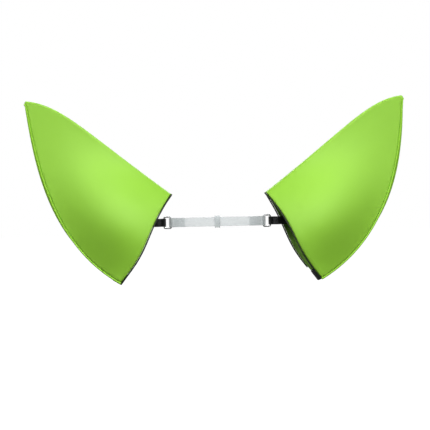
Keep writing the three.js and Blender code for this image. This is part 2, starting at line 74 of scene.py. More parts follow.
# Layers of a panel, and how far they stop short of the outline.
COVER = 0.8 * MM
FOAM = 3.0 * MM
LINING = 0.6 * MM
LAYER_GAP = 0.25 * MM
PANEL = COVER + FOAM + LINING + 2 * LAYER_GAP
HALF_CLEARANCE = 0.5 * MM
STEEPEST = 2.4
RIDGE_INSET = 2.6 * MM
HEM_INSET = 4.6 * MM
ARMHOLE_INSET = 4.2 * MM
TIP_INSET = 7 * MM
HEM_SEAM = HEM_INSET + 2.3 * MM
ARMHOLE_SEAM = ARMHOLE_INSET + 2.4 * MM
BINDING_RADIUS = 2.1 * MM
CLEAR = 0.35 * MM

# Satin cover: how it turns over each edge of the foam.
COVER_CLOTH = 0.6 * MM
RIDGE_ROLL = 2.0 * MM
EDGE_ROLL = 1.7 * MM
ROLL_TURNS = np.radians([90, 72, 54, 36, 20, 8])
BEAD_RADIUS = 1.8 * MM
ARMHOLE_BEAD = 1.15 * MM
RIDGE_CORD = 0.9 * MM

# Stay in the ridge, pad on the shoulder and the web between them.
STAY_THICK = 1 * MM
STAY_WIDE = 7 * MM
CASING_WALL = 0.6 * MM
STAY_RUN = (0.06, 0.46)
STAY_DROP = 13 * MM
PAD_MIDDLE = np.array([141, 2, -17]) * MM
PAD_SLOPE = 14
PAD_LENGTH = 86 * MM
PAD_HALF_WIDTHS = (13 * MM, 30 * MM)
PAD_EDGE = 4 * MM
PAD_CROWN = 4.5 * MM
PAD_SIDES = 72
FILL_VOXEL = 2.6 * MM
FILL_PRESSURE = 3.0
FILL_STIFFNESS = 30
FILL_FRAMES = 20
FILL_MOST = 4.5 * MM
WEB_RUN = (0.14, 0.36)
WEB_THICK = 1.6 * MM

# Arm strap, with its ring, tab and keeper, in a plane of its own that tilts.
STRAP_MIDDLE = np.array([190.4, 9, -111.2]) * MM
STRAP_TILT = 37
STRAP_WIDE = 20 * MM
STRAP_THICK = 1.6 * MM
TAB_THICK = 1 * MM
STRAP_ROUTE = np.array([[5, -33], [-6, -34.5], [-17, -33], [-28, -26.5], [-34, -17],
                        [-36.2, -8]]) * MM
RING_MIDDLE = np.array([-4, 26.2]) * MM
TAB_TAIL = np.array([[17.5, 29.6], [11, 30.2]]) * MM
RUN_DIRECTION = 47
RING_SPAN = 12 * MM
BAR = 2.4 * MM
LOOP_INSIDE = 2.6 * MM
DOUBLED = 30 * MM
KEEPER_LONG = 9 * MM
KEEPER_WALL = 2.2 * MM
KEEPER_PLAY = 0.6 * MM

# Elastic link behind the back.
LINK_PIVOT = np.array([80, 40, -38]) * MM
LINK_WIDE = 16 * MM
LINK_THICK = 1.6 * MM
LINK_DOUBLED = 24 * MM
LINK_LOOP_INSIDE = 2.3 * MM
LINK_TAB_TAIL = np.array([[126, 48.8], [116, 44.3], [105, 37.5]]) * MM

# ---- camera, light, floor

AIM = Vector((-0.0064, 0, -0.0255))
CAMERA_TURN = math.radians(3.6)
CAMERA_RISE = math.radians(1.5)
CAMERA_ROLL = math.radians(1.15)
CAMERA_FAR = 2.3
FRAME_WIDE = 0.731
SENSOR = 36.0
FLOOR_LEVEL = -0.62


def place_camera():
    data = bpy.data.cameras.new("camera")
    data.sensor_width = SENSOR
    data.lens = SENSOR * CAMERA_FAR / FRAME_WIDE
    data.clip_end = 60
    camera = bpy.data.objects.new("camera", data)
    bpy.context.scene.collection.objects.link(camera)
    looking = Vector((math.sin(CAMERA_TURN) * math.cos(CAMERA_RISE),
                      math.cos(CAMERA_TURN) * math.cos(CAMERA_RISE),
                      -math.sin(CAMERA_RISE)))
    camera.location = AIM - looking * CAMERA_FAR
    turn = looking.to_track_quat("-Z", "Y").to_matrix().to_4x4()
    roll = Matrix.Rotation(-CAMERA_ROLL, 4, "Z")
    camera.matrix_world = Matrix.Translation(camera.location) @ turn @ roll
    bpy.context.scene.camera = camera


place_camera()
bpy.context.scene.view_settings.view_transform = "Standard"

# ---- node helpers


class Graph:
    """A node tree, with short ways to add nodes that return the new node's result."""

    def __init__(self, tree):
        self.tree = tree

    def feed(self, socket, value):
        if isinstance(value, bpy.types.NodeSocket):
            self.tree.links.new(value, socket)
        else:
            socket.default_value = value

    def fill(self, node, values, inputs):
        """Fills the node's first sockets in order, and others by name."""
        for key, value in [*enumerate(values), *inputs.items()]:
            self.feed(node.inputs[key if isinstance(key, int) else key.replace("_", " ")], value)
        return node.outputs

    def put(self, kind, *values, out=0, **inputs):
        return self.fill(self.tree.nodes.new(kind), values, inputs)[out]

    def placed(self, group, **inputs):
        """Adds one of the shared effects, and returns all its results."""
        node = self.tree.nodes.new("ShaderNodeGroup")
        node.node_tree = group
        return self.fill(node, (), inputs)

    def maths(self, operation, *values):
        node = self.tree.nodes.new("ShaderNodeMath")
        node.operation = operation
        return self.fill(node, values, {})[0]

    def times(self, product, *others):
        for value in others:
            product = self.maths("MULTIPLY", product, value)
        return product

    def sine_of(self, place, per_metre, turn):
        return self.maths("SINE", self.times(place, self.times(per_metre, turn)))

    def mixed(self, amount, first, second):
        """A mix of two colours."""
        node = self.tree.nodes.new("ShaderNodeMix")
        node.data_type = "RGBA"
        for index, value in ((0, amount), (6, first), (7, second)):
            self.feed(node.inputs[index], value)
        return node.outputs[2]

    def spread(self, value, low, high, to_low, to_high):
        """The value moved from one range to another, and held inside it."""
        return self.put("ShaderNodeMapRange", value, low, high, to_low, to_high)

    def place(self):
        return self.put("ShaderNodeTexCoord", out="Object")

    def axes(self):
        """Object coordinates as three separate numbers."""
        return self.fill(self.tree.nodes.new("ShaderNodeSeparateXYZ"), [self.place()], {})

    def noise(self, scale, detail=3.0, place=None):
        return self.put("ShaderNodeTexNoise", Vector=self.place() if place is None else place,
                        Scale=scale, Detail=detail, Roughness=0.5)

    def cells(self, scale):
        return self.put("ShaderNodeTexVoronoi", Vector=self.place(), Scale=scale)


# ---- shared effects


def effect(name, build, inputs, outputs):
    """A node group with named sockets, filled by build(graph, *inputs)."""
    group = bpy.data.node_groups.new(name, "ShaderNodeTree")
    for label, value in inputs.items():
        kind = "NodeSocketColor" if isinstance(value, tuple) else "NodeSocketFloat"
        socket = group.interface.new_socket(name=label, in_out="INPUT", socket_type=kind)
        socket.default_value = value
    for label, kind in outputs.items():
        group.interface.new_socket(name=label, in_out="OUTPUT", socket_type="NodeSocket" + kind)
    given = group.nodes.new("NodeGroupInput").outputs[:len(inputs)]
    result = group.nodes.new("NodeGroupOutput").inputs
    graph = Graph(group)
    for socket, value in zip(result, build(graph, *given)):
        graph.feed(socket, value)
    return group


def satin_weave(graph, threads, unevenness):
    """Fine crossed threads on the bias: warp floats over weft, as on satin."""
    x, _, z = graph.axes()
    warp = graph.times(graph.maths("ADD", x, z), threads, math.pi)
    weft = graph.times(graph.maths("SUBTRACT", x, z), threads, math.pi)
    crossing = graph.times(graph.maths("SINE", warp), graph.maths("SINE", weft))
    slub = graph.maths("SUBTRACT", graph.noise(900.0, 2.0), 0.5)
    height = graph.maths("ADD", crossing, graph.times(slub, unevenness, 2.0))
    # Thread is the weave's height from 0 to 1; cloth() paints shade on its low parts and varies
    # roughness with it.
    return height, graph.spread(height, -1.0, 1.0, 0.0, 1.0)


def slow_tint(graph, colour, other, scale, amount):
    """Broad, faint patches where the dye or the handling differs."""
    patch = graph.spread(graph.noise(scale, 2.0), 0.35, 0.65, 0.0, 1.0)
    return graph.mixed(graph.times(patch, amount), colour, other), patch


def lint(graph, scale, amount):
    """Specks of lint and dust that settle on cloth and hardware."""
    speck = graph.spread(graph.cells(scale), 0.02, 0.14, 1.0, 0.0)
    where = graph.spread(graph.noise(40.0), 0.5, 0.75, 0.0, 1.0)
    return [graph.times(speck, where, amount)]


def rubbed_edges(graph, width, scale):
    """Edges rubbed by use, from how sharply the surface turns, broken up by grain."""
    turn = graph.put("ShaderNodeNewGeometry", out="Pointiness")
    ridge = graph.maths("DIVIDE", graph.maths("SUBTRACT", turn, 0.5), width)
    grain = graph.spread(graph.noise(scale, 4.0), 0.3, 0.7, 0.2, 1.0)
    return [graph.put("ShaderNodeClamp", graph.times(ridge, grain))]


def elastic_ribs(graph, ribs, crossings):
    """Knitted elastic: cords along the length, fine cross threads between them."""
    x, y, z = graph.axes()
    rib = graph.sine_of(z, ribs, 2 * math.pi)
    cross = graph.sine_of(graph.maths("ADD", x, y), crossings, 2 * math.pi)
    height = graph.maths("ADD", rib, graph.times(cross, 0.35))
    height = graph.maths("ADD", height, graph.noise(1500.0, 2.0))
    # The second result is 1 in the troughs between ribs: the mask for painted shade.
    return height, graph.spread(rib, -1.0, -0.2, 1.0, 0.0)


WHITE = (1, 1, 1, 1)
SATIN_WEAVE = effect("satin_weave", satin_weave,
                     {"Threads per metre": 1800.0, "Unevenness": 0.35},
                     {"Height": "Float", "Thread": "Float"})
SLOW_TINT = effect("slow_tint", slow_tint,
                   {"Colour": WHITE, "Other colour": WHITE, "Patch scale": 9.0, "Amount": 0.5},
                   {"Colour": "Color", "Patch": "Float"})
LINT = effect("lint", lint, {"Speck scale": 600.0, "Amount": 0.3}, {"Mask": "Float"})
RUBBED_EDGES = effect("rubbed_edges", rubbed_edges, {"Width": 0.06, "Grain scale": 350.0},
                      {"Mask": "Float"})
# Hollow output: the mask for painted shade in the troughs between ribs.
ELASTIC_RIBS = effect("elastic_ribs", elastic_ribs,
                      {"Ribs per metre": 800.0, "Crossings per metre": 1600.0},
                      {"Height": "Float", "Hollow": "Float"})

# ---- finishes


class Finish(Graph):
    """A new material: its nodes and its Principled shader."""

    def __init__(self, name):
        self.material = bpy.data.materials.new(name)
        self.material.use_nodes = True
        super().__init__(self.material.node_tree)
        self.shader = self.tree.nodes["Principled BSDF"]

    def shade(self, **inputs):
        self.fill(self.shader, (), inputs)

    def tinted(self, colour, other, **inputs):
        """A colour with faint patches of another, and where the patches are."""
        return self.placed(SLOW_TINT, Colour=(*colour, 1), Other_colour=(*other, 1), **inputs)

    def linted(self, amount, colour, speck):
        """Sets the base colour, with specks of lint on it."""
        mask, = self.placed(LINT, Amount=amount)
        self.shade(Base_Color=self.mixed(mask, colour, (*speck, 1)))

    def bumped(self, height, distance):
        self.shade(Normal=self.put("ShaderNodeBump", Strength=1.0, Distance=distance,
                                   Height=height))
        return self.material


def scaled(colour, share):
    return tuple(share * part for part in colour)


def cloth(name, colour, other, rough, threads=1800.0, depth=0.05 * MM, sheen=0.2,
          specular=0.5, gleam=(1, 1, 1)):
    """Woven cloth in one dye, with faint patches, painted shade between the threads and a little
    lint.
    """
    finish = Finish(name)
    height, thread = finish.placed(SATIN_WEAVE, Threads_per_metre=threads)
    tint, patch = finish.tinted(colour, other, Amount=0.35)
    # Painted shade: the colour darkens to 0.72 where the weave dips between threads.
    painted_hollow_shade = finish.spread(thread, 0.0, 0.5, 0.35, 0.0)
    finish.linted(0.25, finish.mixed(painted_hollow_shade, tint, (*scaled(colour, 0.72), 1)),
                  (0.82, 0.86, 0.76))
    gloss = finish.maths("ADD", finish.spread(patch, 0, 1, rough, rough + 0.05),
                         finish.spread(thread, 0, 1, 0.05, -0.03))
    finish.shade(Roughness=gloss, Sheen_Weight=sheen, Sheen_Roughness=0.45,
                 Specular_IOR_Level=specular, Specular_Tint=(*gleam, 1))
    return finish.bumped(height, depth)


def elastic(name, colour, ribs, crossings, depth):
    finish = Finish(name)
    height, painted_hollow_shade = finish.placed(ELASTIC_RIBS, Ribs_per_metre=ribs,
                                   Crossings_per_metre=crossings)
    tint, patch = finish.tinted(colour, scaled(colour, 1.6), Patch_scale=30.0, Amount=0.5)
    # Painted shade: the colour darkens to 0.45 in the troughs between ribs.
    ribbed = finish.mixed(painted_hollow_shade, tint, (*scaled(colour, 0.45), 1))
    finish.linted(0.5, ribbed, (0.5, 0.5, 0.5))
    finish.shade(Roughness=finish.spread(patch, 0, 1, 0.62, 0.74), Sheen_Weight=0.25)
    return finish.bumped(height, depth)


def foam():
    finish = Finish("open_cell_foam")
    cells = finish.cells(1100.0)
    tint, _ = finish.tinted((0.62, 0.64, 0.56), (0.5, 0.5, 0.4), Patch_scale=14.0, Amount=0.6)
    # Painted shade: the foam darkens towards the middle of each pore.
    painted_pore_shade = finish.spread(cells, 0.0, 0.35, 0.55, 0.0)
    finish.shade(Base_Color=finish.mixed(painted_pore_shade, tint, (0.3, 0.3, 0.24, 1)),
                 Roughness=finish.spread(cells, 0, 1, 0.95, 0.8))
    return finish.bumped(cells, 0.2 * MM)


def metal(name, colour, rough):
    """Plated wire or spring steel, with drawing lines and rubbed edges."""
    finish = Finish(name)
    worn, = finish.placed(RUBBED_EDGES, Width=0.05)
    drawn = finish.put("ShaderNodeMapping", finish.place(), Scale=(2500.0, 2500.0, 120.0))
    lines = finish.noise(1.0, 2.0, drawn)
    tint, _ = finish.tinted(colour, scaled(colour, 0.75), Patch_scale=45.0, Amount=0.6)
    bright = [min(1.0, part) for part in scaled(colour, 1.25)]
    finish.shade(Base_Color=finish.mixed(worn, tint, (*bright, 1)), Metallic=1.0,
                 Roughness=finish.spread(lines, 0.2, 0.8, rough, rough + 0.15))
    return finish.bumped(lines, 0.01 * MM)


def moulded(name, colour, rubbed, speck, dusty, grain, rough, depth, alpha=None):
    """Plastic with a fine grain. On clear plastic the grain also stops the light."""
    finish = Finish(name)
    worn, = finish.placed(RUBBED_EDGES, Width=0.08)
    grain = finish.noise(*grain)
    finish.linted(dusty, finish.mixed(worn, (*colour, 1), (*rubbed, 1)), speck)
    finish.shade(Roughness=finish.spread(grain, 0.3, 0.7, *rough))
    if alpha:
        finish.shade(Alpha=finish.spread(grain, 0.3, 0.7, *alpha))
    return finish.bumped(grain, depth)


def clear(name, colour, alpha, rough):
    return moulded(name, colour, (0.95, 0.96, 0.96), (0.6, 0.6, 0.58), 0.4, (700.0, 4.0),
                   (rough, rough + 0.2), 0.03 * MM, (alpha, alpha + 0.1))


LIME = (0.288, 0.650, 0.021)
LIME_SUNNY = (0.310, 0.675, 0.027)
FINISHES = {
    "cover": cloth("lime_satin", LIME, LIME_SUNNY, 0.6, sheen=0.03, specular=0.95,
                   gleam=(1.0, 0.88, 0.92)),
    "edge": cloth("lime_piping_satin", (0.290, 0.630, 0.012), LIME, 0.55, threads=2200.0,
                  depth=0.03 * MM, sheen=0.03, specular=0.7),
    # The armhole binding is a real bound edge; its near-black colour is painted shadow along the
    # armhole edge.
    "binding": cloth("near_black_binding_painted_shadow", (0.018, 0.030, 0.008), (0.026, 0.040, 0.012), 0.7,
                     threads=1500.0, sheen=0.1),
    "lining": cloth("green_lining", (0.20, 0.42, 0.045), (0.23, 0.46, 0.055), 0.66,
                    threads=1300.0, depth=0.08 * MM, sheen=0.2),
    "pad": cloth("brushed_pad_cloth", (0.22, 0.44, 0.06), (0.27, 0.50, 0.08), 0.8,
                 threads=1100.0, depth=0.12 * MM, sheen=0.5, specular=0.3),
    "thread": cloth("lime_thread", (0.38, 0.70, 0.06), (0.42, 0.74, 0.08), 0.5,
                    threads=4200.0, depth=0.03 * MM),
    "dark_thread": cloth("charcoal_thread", (0.05, 0.052, 0.055), (0.08, 0.08, 0.08), 0.55,
                         threads=4200.0, depth=0.03 * MM),
    "elastic": elastic("black_knitted_elastic", (0.014, 0.015, 0.017), 800.0, 1500.0, 0.06 * MM),
    "webbing": elastic("black_tape_webbing", (0.02, 0.021, 0.023), 420.0, 900.0, 0.09 * MM),
    "foam": foam(),
    "steel": metal("spring_steel", (0.46, 0.48, 0.5), 0.28),
    "wire": metal("nickel_plated_wire", (0.62, 0.63, 0.64), 0.2),
    "plastic": moulded("moulded_black_plastic", (0.014, 0.015, 0.016), (0.06, 0.06, 0.06),
                       (0.3, 0.3, 0.3), 0.5, (1600.0, 2.0), (0.34, 0.5), 0.02 * MM),
    "clear_elastic": clear("clear_elastic_band", (0.78, 0.83, 0.84), 0.42, 0.3),
    "clear_plastic": clear("clear_moulded_plastic", (0.80, 0.85, 0.86), 0.45, 0.2),
}

# ---- shape of a wing


class Edge:
    """A smooth curve in the outline's plane, measured by its own length from 0 to 1."""

    def __init__(self, start, pulls, end):
        t = np.linspace(0, 1, 1201)[:, None]
        self.points = ((1 - t) ** 3 * start + 3 * (1 - t) ** 2 * t * pulls[0]
                       + 3 * (1 - t) * t ** 2 * pulls[1] + t ** 3 * end)
        steps = np.linalg.norm(np.diff(self.points, axis=0), axis=1)
        self.run = np.concatenate([[0], np.cumsum(steps)])
        self.length = self.run[-1]

    def at(self, u):
        far = np.asarray(u) * self.length
        return np.stack([np.interp(far, self.run, self.points[:, k]) for k in (0, 1)], -1)

    def along(self, u):
        step = 0.002
        way = self.at(np.clip(u + step, 0, 1)) - self.at(np.clip(np.asarray(u) - step, 0, 1))
        return way / np.linalg.norm(way, axis=-1, keepdims=True)


RIDGE = Edge(NECK_POINT, RIDGE_PULLS, TIP_POINT)
HEMS = {hand: Edge(ARMPIT_POINT, pulls, TIP_POINT) for hand, pulls in HEM_PULLS.items()}
FIRST_RIB = ARMHOLE_INSET / RIDGE.length
LAST_RIB = 1 - TIP_INSET / RIDGE.length


class Panel:
    """What tells the four panels apart. Facing is -1 to the front and 1 to the back."""

    def __init__(self, hand, side):
        self.hem = HEMS[hand]
        self.facing = -1 if side == "front" else 1
        self.bulge = BULGE[side]
        self.spread = 0.0 if side == "front" else BACK_HEM_SPREAD[hand]


PANELS = {(hand, side): Panel(hand, side) for hand in HEMS for side in BULGE}


def sweep_back(x):
    out = np.maximum(0, x - NECK_POINT[0]) / (TIP_POINT[0] - NECK_POINT[0])
    return TIP_SWEEP * out ** SWEEP_POWER


def rib_point(panel, u, v):
    """Outline-plane place at u (armhole 0, tip 1) and v (ridge 0, hem 1)."""
    top, foot = RIDGE.at(u), panel.hem.at(u)
    foot = foot + (panel.spread * np.sin(np.pi * u))[..., None] * SPREAD_WAY
    place = top + (foot - top) * v[..., None]
    armhole = (1 - u) ** 4
    place[..., 0] += armhole * ARMHOLE_WAVE * np.sin(2 * np.pi * v)
    place[..., 0] -= armhole * ARMHOLE_HOLLOW * np.sin(np.pi * v)
    return place


def half_depth(panel, u, v):
    """From the middle surface to the outside of the cover."""
    open_ = ARMPIT_DEPTH * (1 - u) ** HEM_CLOSING
    swell = panel.bulge * np.sin(np.pi * (BULGE_START + (1 - BULGE_START) * u)) ** 2
    swell = swell * (1 - u ** 2) ** TIP_FLATNESS
    shaped = np.minimum(1, u / SHAPED_BY)
    rounding = SHOULDER_ROUNDING + (HEM_TUCK - SHOULDER_ROUNDING) * shaped
    arch = np.maximum(0, np.sin(np.pi * np.maximum(v, 0) ** rounding))
    return EDGE_DEPTH + open_ * v + swell * arch ** (1 + HEM_FLARE * shaped)


def steepness(panel, u, v):
    """A cut straight through a layer, against the layer's thickness."""
    step = 0.01

    def at(a, b):
        place = rib_point(panel, a, b)
        return np.stack([place[..., 0], half_depth(panel, a, b), place[..., 1]], -1)

    u0, u1 = np.maximum(0, u - step), np.minimum(1, u + step)
    v0, v1 = np.maximum(0.005, v - step), np.minimum(1, v + step)
    normal = np.cross(at(u1, v) - at(u0, v), at(u, v1) - at(u, v0))
    normal /= np.linalg.norm(normal, axis=-1, keepdims=True)
    return np.minimum(STEEPEST, 1 / np.maximum(0.01, np.abs(normal[..., 1])))


def panel_point(panel, u, v, depth, seam=0.0):
    """A place at a depth below the cover; seam from 0 to 1 pulls it to the centre seam."""
    u, v = np.broadcast_arrays(np.asarray(u, float), np.asarray(v, float))
    place = rib_point(panel, u, v)
    half = half_depth(panel, u, v)
    cut = np.minimum(steepness(panel, u, v), (half - HALF_CLEARANCE) / PANEL)
    out = half - depth * cut
    out = HALF_CLEARANCE + (out - HALF_CLEARANCE) * (1 - seam)
    y = sweep_back(place[..., 0]) + panel.facing * out
    return np.stack([place[..., 0], y, place[..., 1]], -1)


def rib_scale(panel, u):
    """Length across the rib's own slant that one unit of v is worth, at the ridge and hem."""
    zero, one = np.zeros_like(u), np.ones_like(u)
    rib = rib_point(panel, u, one) - rib_point(panel, u, zero)
    length = np.linalg.norm(rib, axis=-1)
    unit = rib / length[..., None]

    def lean(curve):
        way = curve.along(u)
        return np.abs(unit[..., 0] * way[..., 1] - unit[..., 1] * way[..., 0])

    return lean(RIDGE) * length, lean(panel.hem) * length


def near_tip(insets, scale, most=0.45):
    """Insets as shares of the rib, cut short where the rib itself is short."""
    return np.minimum(insets[None, :] / scale[:, None], most * insets[None, :] / insets.max())


def panel_grid(panel, depth, columns, rows, top_inset, hem_inset, ends, roll, top_roll,
               roll_depth, outward=1):
    """Grid of places for one layer whose four edges roll over, towards the panel's middle."""
    turned = np.sin(ROLL_TURNS)
    first = (ends[0] + roll * (1 - turned)) / RIDGE.length
    last = 1 - (ends[1] + roll * (1 - turned)) / RIDGE.length
    us = np.concatenate([first, np.linspace(first[-1], last[-1], columns + 2)[1:-1], last[::-1]])
    flat = np.zeros(columns)
    roll_u = np.concatenate([turned, flat, turned[::-1]])
    ridge_scale, hem_scale = rib_scale(panel, us)
    top = near_tip(top_inset + top_roll * (1 - turned), ridge_scale)
    foot = 1 - near_tip(hem_inset + roll * (1 - turned), hem_scale)
    share = np.linspace(0, 1, rows + 2)[1:-1]
    between = top[:, -1:] + (foot[:, -1:] - top[:, -1:]) * share[None, :]
    vs = np.concatenate([top, between, foot[:, ::-1]], axis=1)
    roll_foot = np.concatenate([0 * turned, np.zeros(rows), turned[::-1]])
    over_ridge = np.concatenate([1 - np.cos(ROLL_TURNS), np.zeros(rows), 0 * turned])
    grid_u = np.broadcast_to(us[:, None], vs.shape)
    out = np.minimum(1, np.hypot(roll_u[:, None], roll_foot[None, :]))
    sink = roll_depth * (1 - np.sqrt(1 - out ** 2))
    ease = faint_waves(grid_u, vs) + edge_puckers(grid_u * panel.hem.length, vs, hem_scale)
    level = depth + outward * sink + ease
    return panel_point(panel, grid_u, vs, level, over_ridge[None, :])


def faint_waves(u, v):
    """Slow unevenness of hand-glued foam."""
    wave = np.sin(7.3 * u + 2.1 * v) * np.sin(5.1 * v - 3.7 * u + 0.6)
    return 0.10 * MM * wave + 0.05 * MM * np.sin(17 * u - 9 * v) * np.sin(11 * v + 4 * u)


def edge_puckers(along, v, hem_scale):
    """Tiny gathers where the hem's stitching draws the cloth in."""
    near_hem = np.exp(-((1 - v) * hem_scale[:, None] - HEM_INSET) / (5 * MM))
    beat = np.sin(2 * np.pi * along / (9 * MM) + 2.0 * np.sin(along / (23 * MM)))
    return 0.035 * MM * np.clip(near_hem, 0, 1) * beat


# ---- mesh building


def grid_faces(columns, rows, flip):
    i, j = np.meshgrid(np.arange(columns - 1), np.arange(rows - 1), indexing="ij")
    a = (i * rows + j).ravel()
    quads = np.stack([a, a + rows, a + rows + 1, a + 1], -1)
    return [tuple(map(int, q[::-1] if flip else q)) for q in quads]


def tube_faces(count, sides, closed=False):
    """Quads that join each ring of points to the next."""
    faces = []
    for i in range(count if closed else count - 1):
        here, there = i * sides, (i + 1) % count * sides
        for k in range(sides):
            m = (k + 1) % sides
            faces.append((here + k, here + m, there + m, there + k))
    return faces


def end_caps(count, sides):
    return [tuple(range(sides - 1, -1, -1)), tuple(range((count - 1) * sides, count * sides))]


def loft(origins, across, up, profile, scale=None, closed=False, capped=True):
    """A skin through copies of a closed profile, set on a row of frames."""
    origins, across, up = (np.asarray(a, float)[:, None] for a in (origins, across, up))
    profile = np.asarray(profile, float)
    size = np.ones(len(origins)) if scale is None else np.asarray(scale, float)
    points = origins + size[:, None, None] * (profile[:, :1] * across + profile[:, 1:] * up)
    count, sides = points.shape[:2]
    faces = tube_faces(count, sides, closed)
    if capped and not closed:
        faces += end_caps(count, sides)
    return points.reshape(-1, 3), faces


def circle(radius, sides):
    turn = np.arange(sides) * 2 * np.pi / sides
    return radius * np.stack([np.cos(turn), np.sin(turn)], -1)


def resampled(points, spacing, closed=False):
    points = np.asarray(points, float)
    if closed:
        points = np.vstack([points, points[:1]])
    run = np.concatenate([[0], np.cumsum(np.linalg.norm(np.diff(points, axis=0), axis=1))])
    count = max(2, int(round(run[-1] / spacing)) + 1)
    far = np.linspace(0, run[-1], count)
    out = np.stack([np.interp(far, run, points[:, k]) for k in range(points.shape[1])], -1)
    return out[:-1] if closed else out


def smooth_path(points, spacing, closed=False):
    """Catmull-Rom curve through the points, evenly resampled."""
    p = np.asarray(points, float)
    ends = (p[-1:], p[:2]) if closed else (2 * p[:1] - p[1:2], 2 * p[-1:] - p[-2:-1])
    q = np.vstack([ends[0], p, ends[1]])
    t = np.linspace(0, 1, 17)[:-1, None]
    out = []
    for a, b, c, d in zip(q[:-3], q[1:-2], q[2:-1], q[3:]):
        out.append(0.5 * (2 * b + (c - a) * t + (2 * a - 5 * b + 4 * c - d) * t ** 2
                          + (3 * b - a - 3 * c + d) * t ** 3))
    out = np.vstack(out) if closed else np.vstack(out + [p[-1:]])
    return resampled(out, spacing, closed)


def ways(points, closed=False):
    ahead, behind = np.roll(points, -1, 0), np.roll(points, 1, 0)
    if not closed:
        ahead[-1], behind[0] = points[-1], points[0]
    way = ahead - behind
    return way / np.linalg.norm(way, axis=1, keepdims=True)


DOME = np.radians([78, 52, 26])


def carried_across(way):
    """A direction square to the line at each of its points, turning as little as it can."""
    across = np.cross(way[0], (0, 0, 1) if abs(way[0][2]) < 0.9 else (1, 0, 0))
    frames = []
    for w in way:
        across = across - w * np.dot(across, w)
        across /= np.linalg.norm(across)
        frames.append(across)
    return np.array(frames)


def cord_along(points, radius, sides=12, closed=False, wobble=0.02):
    """Round cord along a line, with domed ends and a slightly uneven thickness."""
    points = np.asarray(points, float)
    way = ways(points, closed)
    beat = np.arange(len(points))
    size = 1 + wobble * np.sin(beat * 1.7) * np.cos(beat * 0.37)
    if closed:
        across = np.cross(way, (0.0, 0.0, 1.0))
        across /= np.linalg.norm(across, axis=1, keepdims=True)
        return loft(points, across, np.cross(way, across), circle(radius, sides), size, True)
    across = carried_across(way)
    up = np.cross(way, across)
    low = points[:1] - way[:1] * radius * np.sin(DOME)[:, None]
    high = points[-1:] + way[-1:] * radius * np.sin(DOME)[:, None]
    points = np.vstack([low, points, high[::-1]])
    across, up = (np.pad(a, ((len(DOME),) * 2, (0, 0)), "edge") for a in (across, up))
    size = np.concatenate([np.cos(DOME), size, np.cos(DOME)[::-1]])
    return loft(points, across, up, circle(radius, sides), size)


def joined(parts):
    points, faces, start = [], [], 0
    for part_points, part_faces in parts:
        points.append(part_points)
        faces += [tuple(k + start for k in face) for face in part_faces]
        start += len(part_points)
    return np.vstack(points), faces


STITCH = 2.4 * MM
STITCH_GAP = 0.9 * MM
THREAD = 0.22 * MM
STITCH_LIFT = np.array([-0.9, 0.45, 0.7, 0.45, -0.9])[:, None]


def stitches(line, facing=None, long=STITCH, gap=STITCH_GAP, thick=THREAD):
    """A row of thread stitches that dip into the cloth at their ends.

    Without a facing, each point of the line goes on with the point below it in the cloth."""
    line = resampled(line, (long + gap) / 6 * (1.4142 if facing is None else 1))
    parts = []
    for k in range(0, len(line) - 5, 6):
        bit = line[k:k + 5, :3]
        if facing is None:
            out = bit - line[k:k + 5, 3:]
            out /= np.linalg.norm(out, axis=1, keepdims=True)
        else:
            out = np.asarray(facing, float)
        parts.append(cord_along(bit + thick * STITCH_LIFT * out, thick, 6, wobble=0))
    return joined(parts)


FLIP_X = np.array([-1.0, 1.0, 1.0])
MIRROR = Matrix.Diagonal((-1, 1, 1, 1))


def make_piece(name, points, faces, finish, place=None):
    mesh = bpy.data.meshes.new(name)
    mesh.from_pydata([tuple(p) for p in points], [], faces)
    mesh.validate()
    mesh.update()
    mesh.polygons.foreach_set("use_smooth", [True] * len(mesh.polygons))
    mesh.materials.append(FINISHES[finish])
    piece = bpy.data.objects.new(name, mesh)
    bpy.context.scene.collection.objects.link(piece)
    if place is not None:
        piece.matrix_world = place
    return piece


def placed_piece(name, shape, finish, body, nodes=(), place=None, dress=None):
    """A piece on its body and in its slot, in place of the nodes it stands for."""
    piece = make_piece(name, *shape, finish, place)
    if dress:
        dress(piece)
    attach(piece, body)
    if nodes:
        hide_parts(*nodes)
    return piece


def pair(name, shape, finish, body="wing", nodes=(), place=None, dress=None):
    """A left piece and a mirrored right one, each on its body; shape may depend on the hand."""
    made = []
    for hand in ("left", "right"):
        points, faces = shape(hand) if callable(shape) else shape
        here = place
        if hand == "right":
            points, faces = points * FLIP_X, [tuple(reversed(face)) for face in faces]
            here = None if place is None else MIRROR @ place @ MIRROR
        made.append(placed_piece(f"{hand}_{name}", (points, faces), finish,
                                 f"{hand}_{body}", [f"{hand}_{node}" for node in nodes], here,
                                 dress))
    return made


def thickened(thick):
    def dress(piece):
        modifier = piece.modifiers.new("cloth_thickness", "SOLIDIFY")
        modifier.thickness = thick
        modifier.offset = -1
        modifier.use_even_offset = False
    return dress


def softened(width, segments=3):
    def dress(piece):
        modifier = piece.modifiers.new("soft_edges", "BEVEL")
        modifier.width = width
        modifier.segments = segments
        modifier.limit_method = "ANGLE"
        modifier.angle_limit = math.radians(35)
    return dress


# ---- covers, cores, linings

VISIBLE_TIP_INSET = 3.8 * MM
FOAM_SHOWN = 1.9 * MM
LINING_CLOTH = 0.35 * MM


def layer(side, faces_out, *sizes, **more):
    """The shape of one layer of a panel, for either hand."""
    def shape(hand):
        grid = panel_grid(PANELS[hand, side], *sizes, **more)
        return grid.reshape(-1, 3), grid_faces(*grid.shape[:2], (side == "front") == faces_out)
    return shape


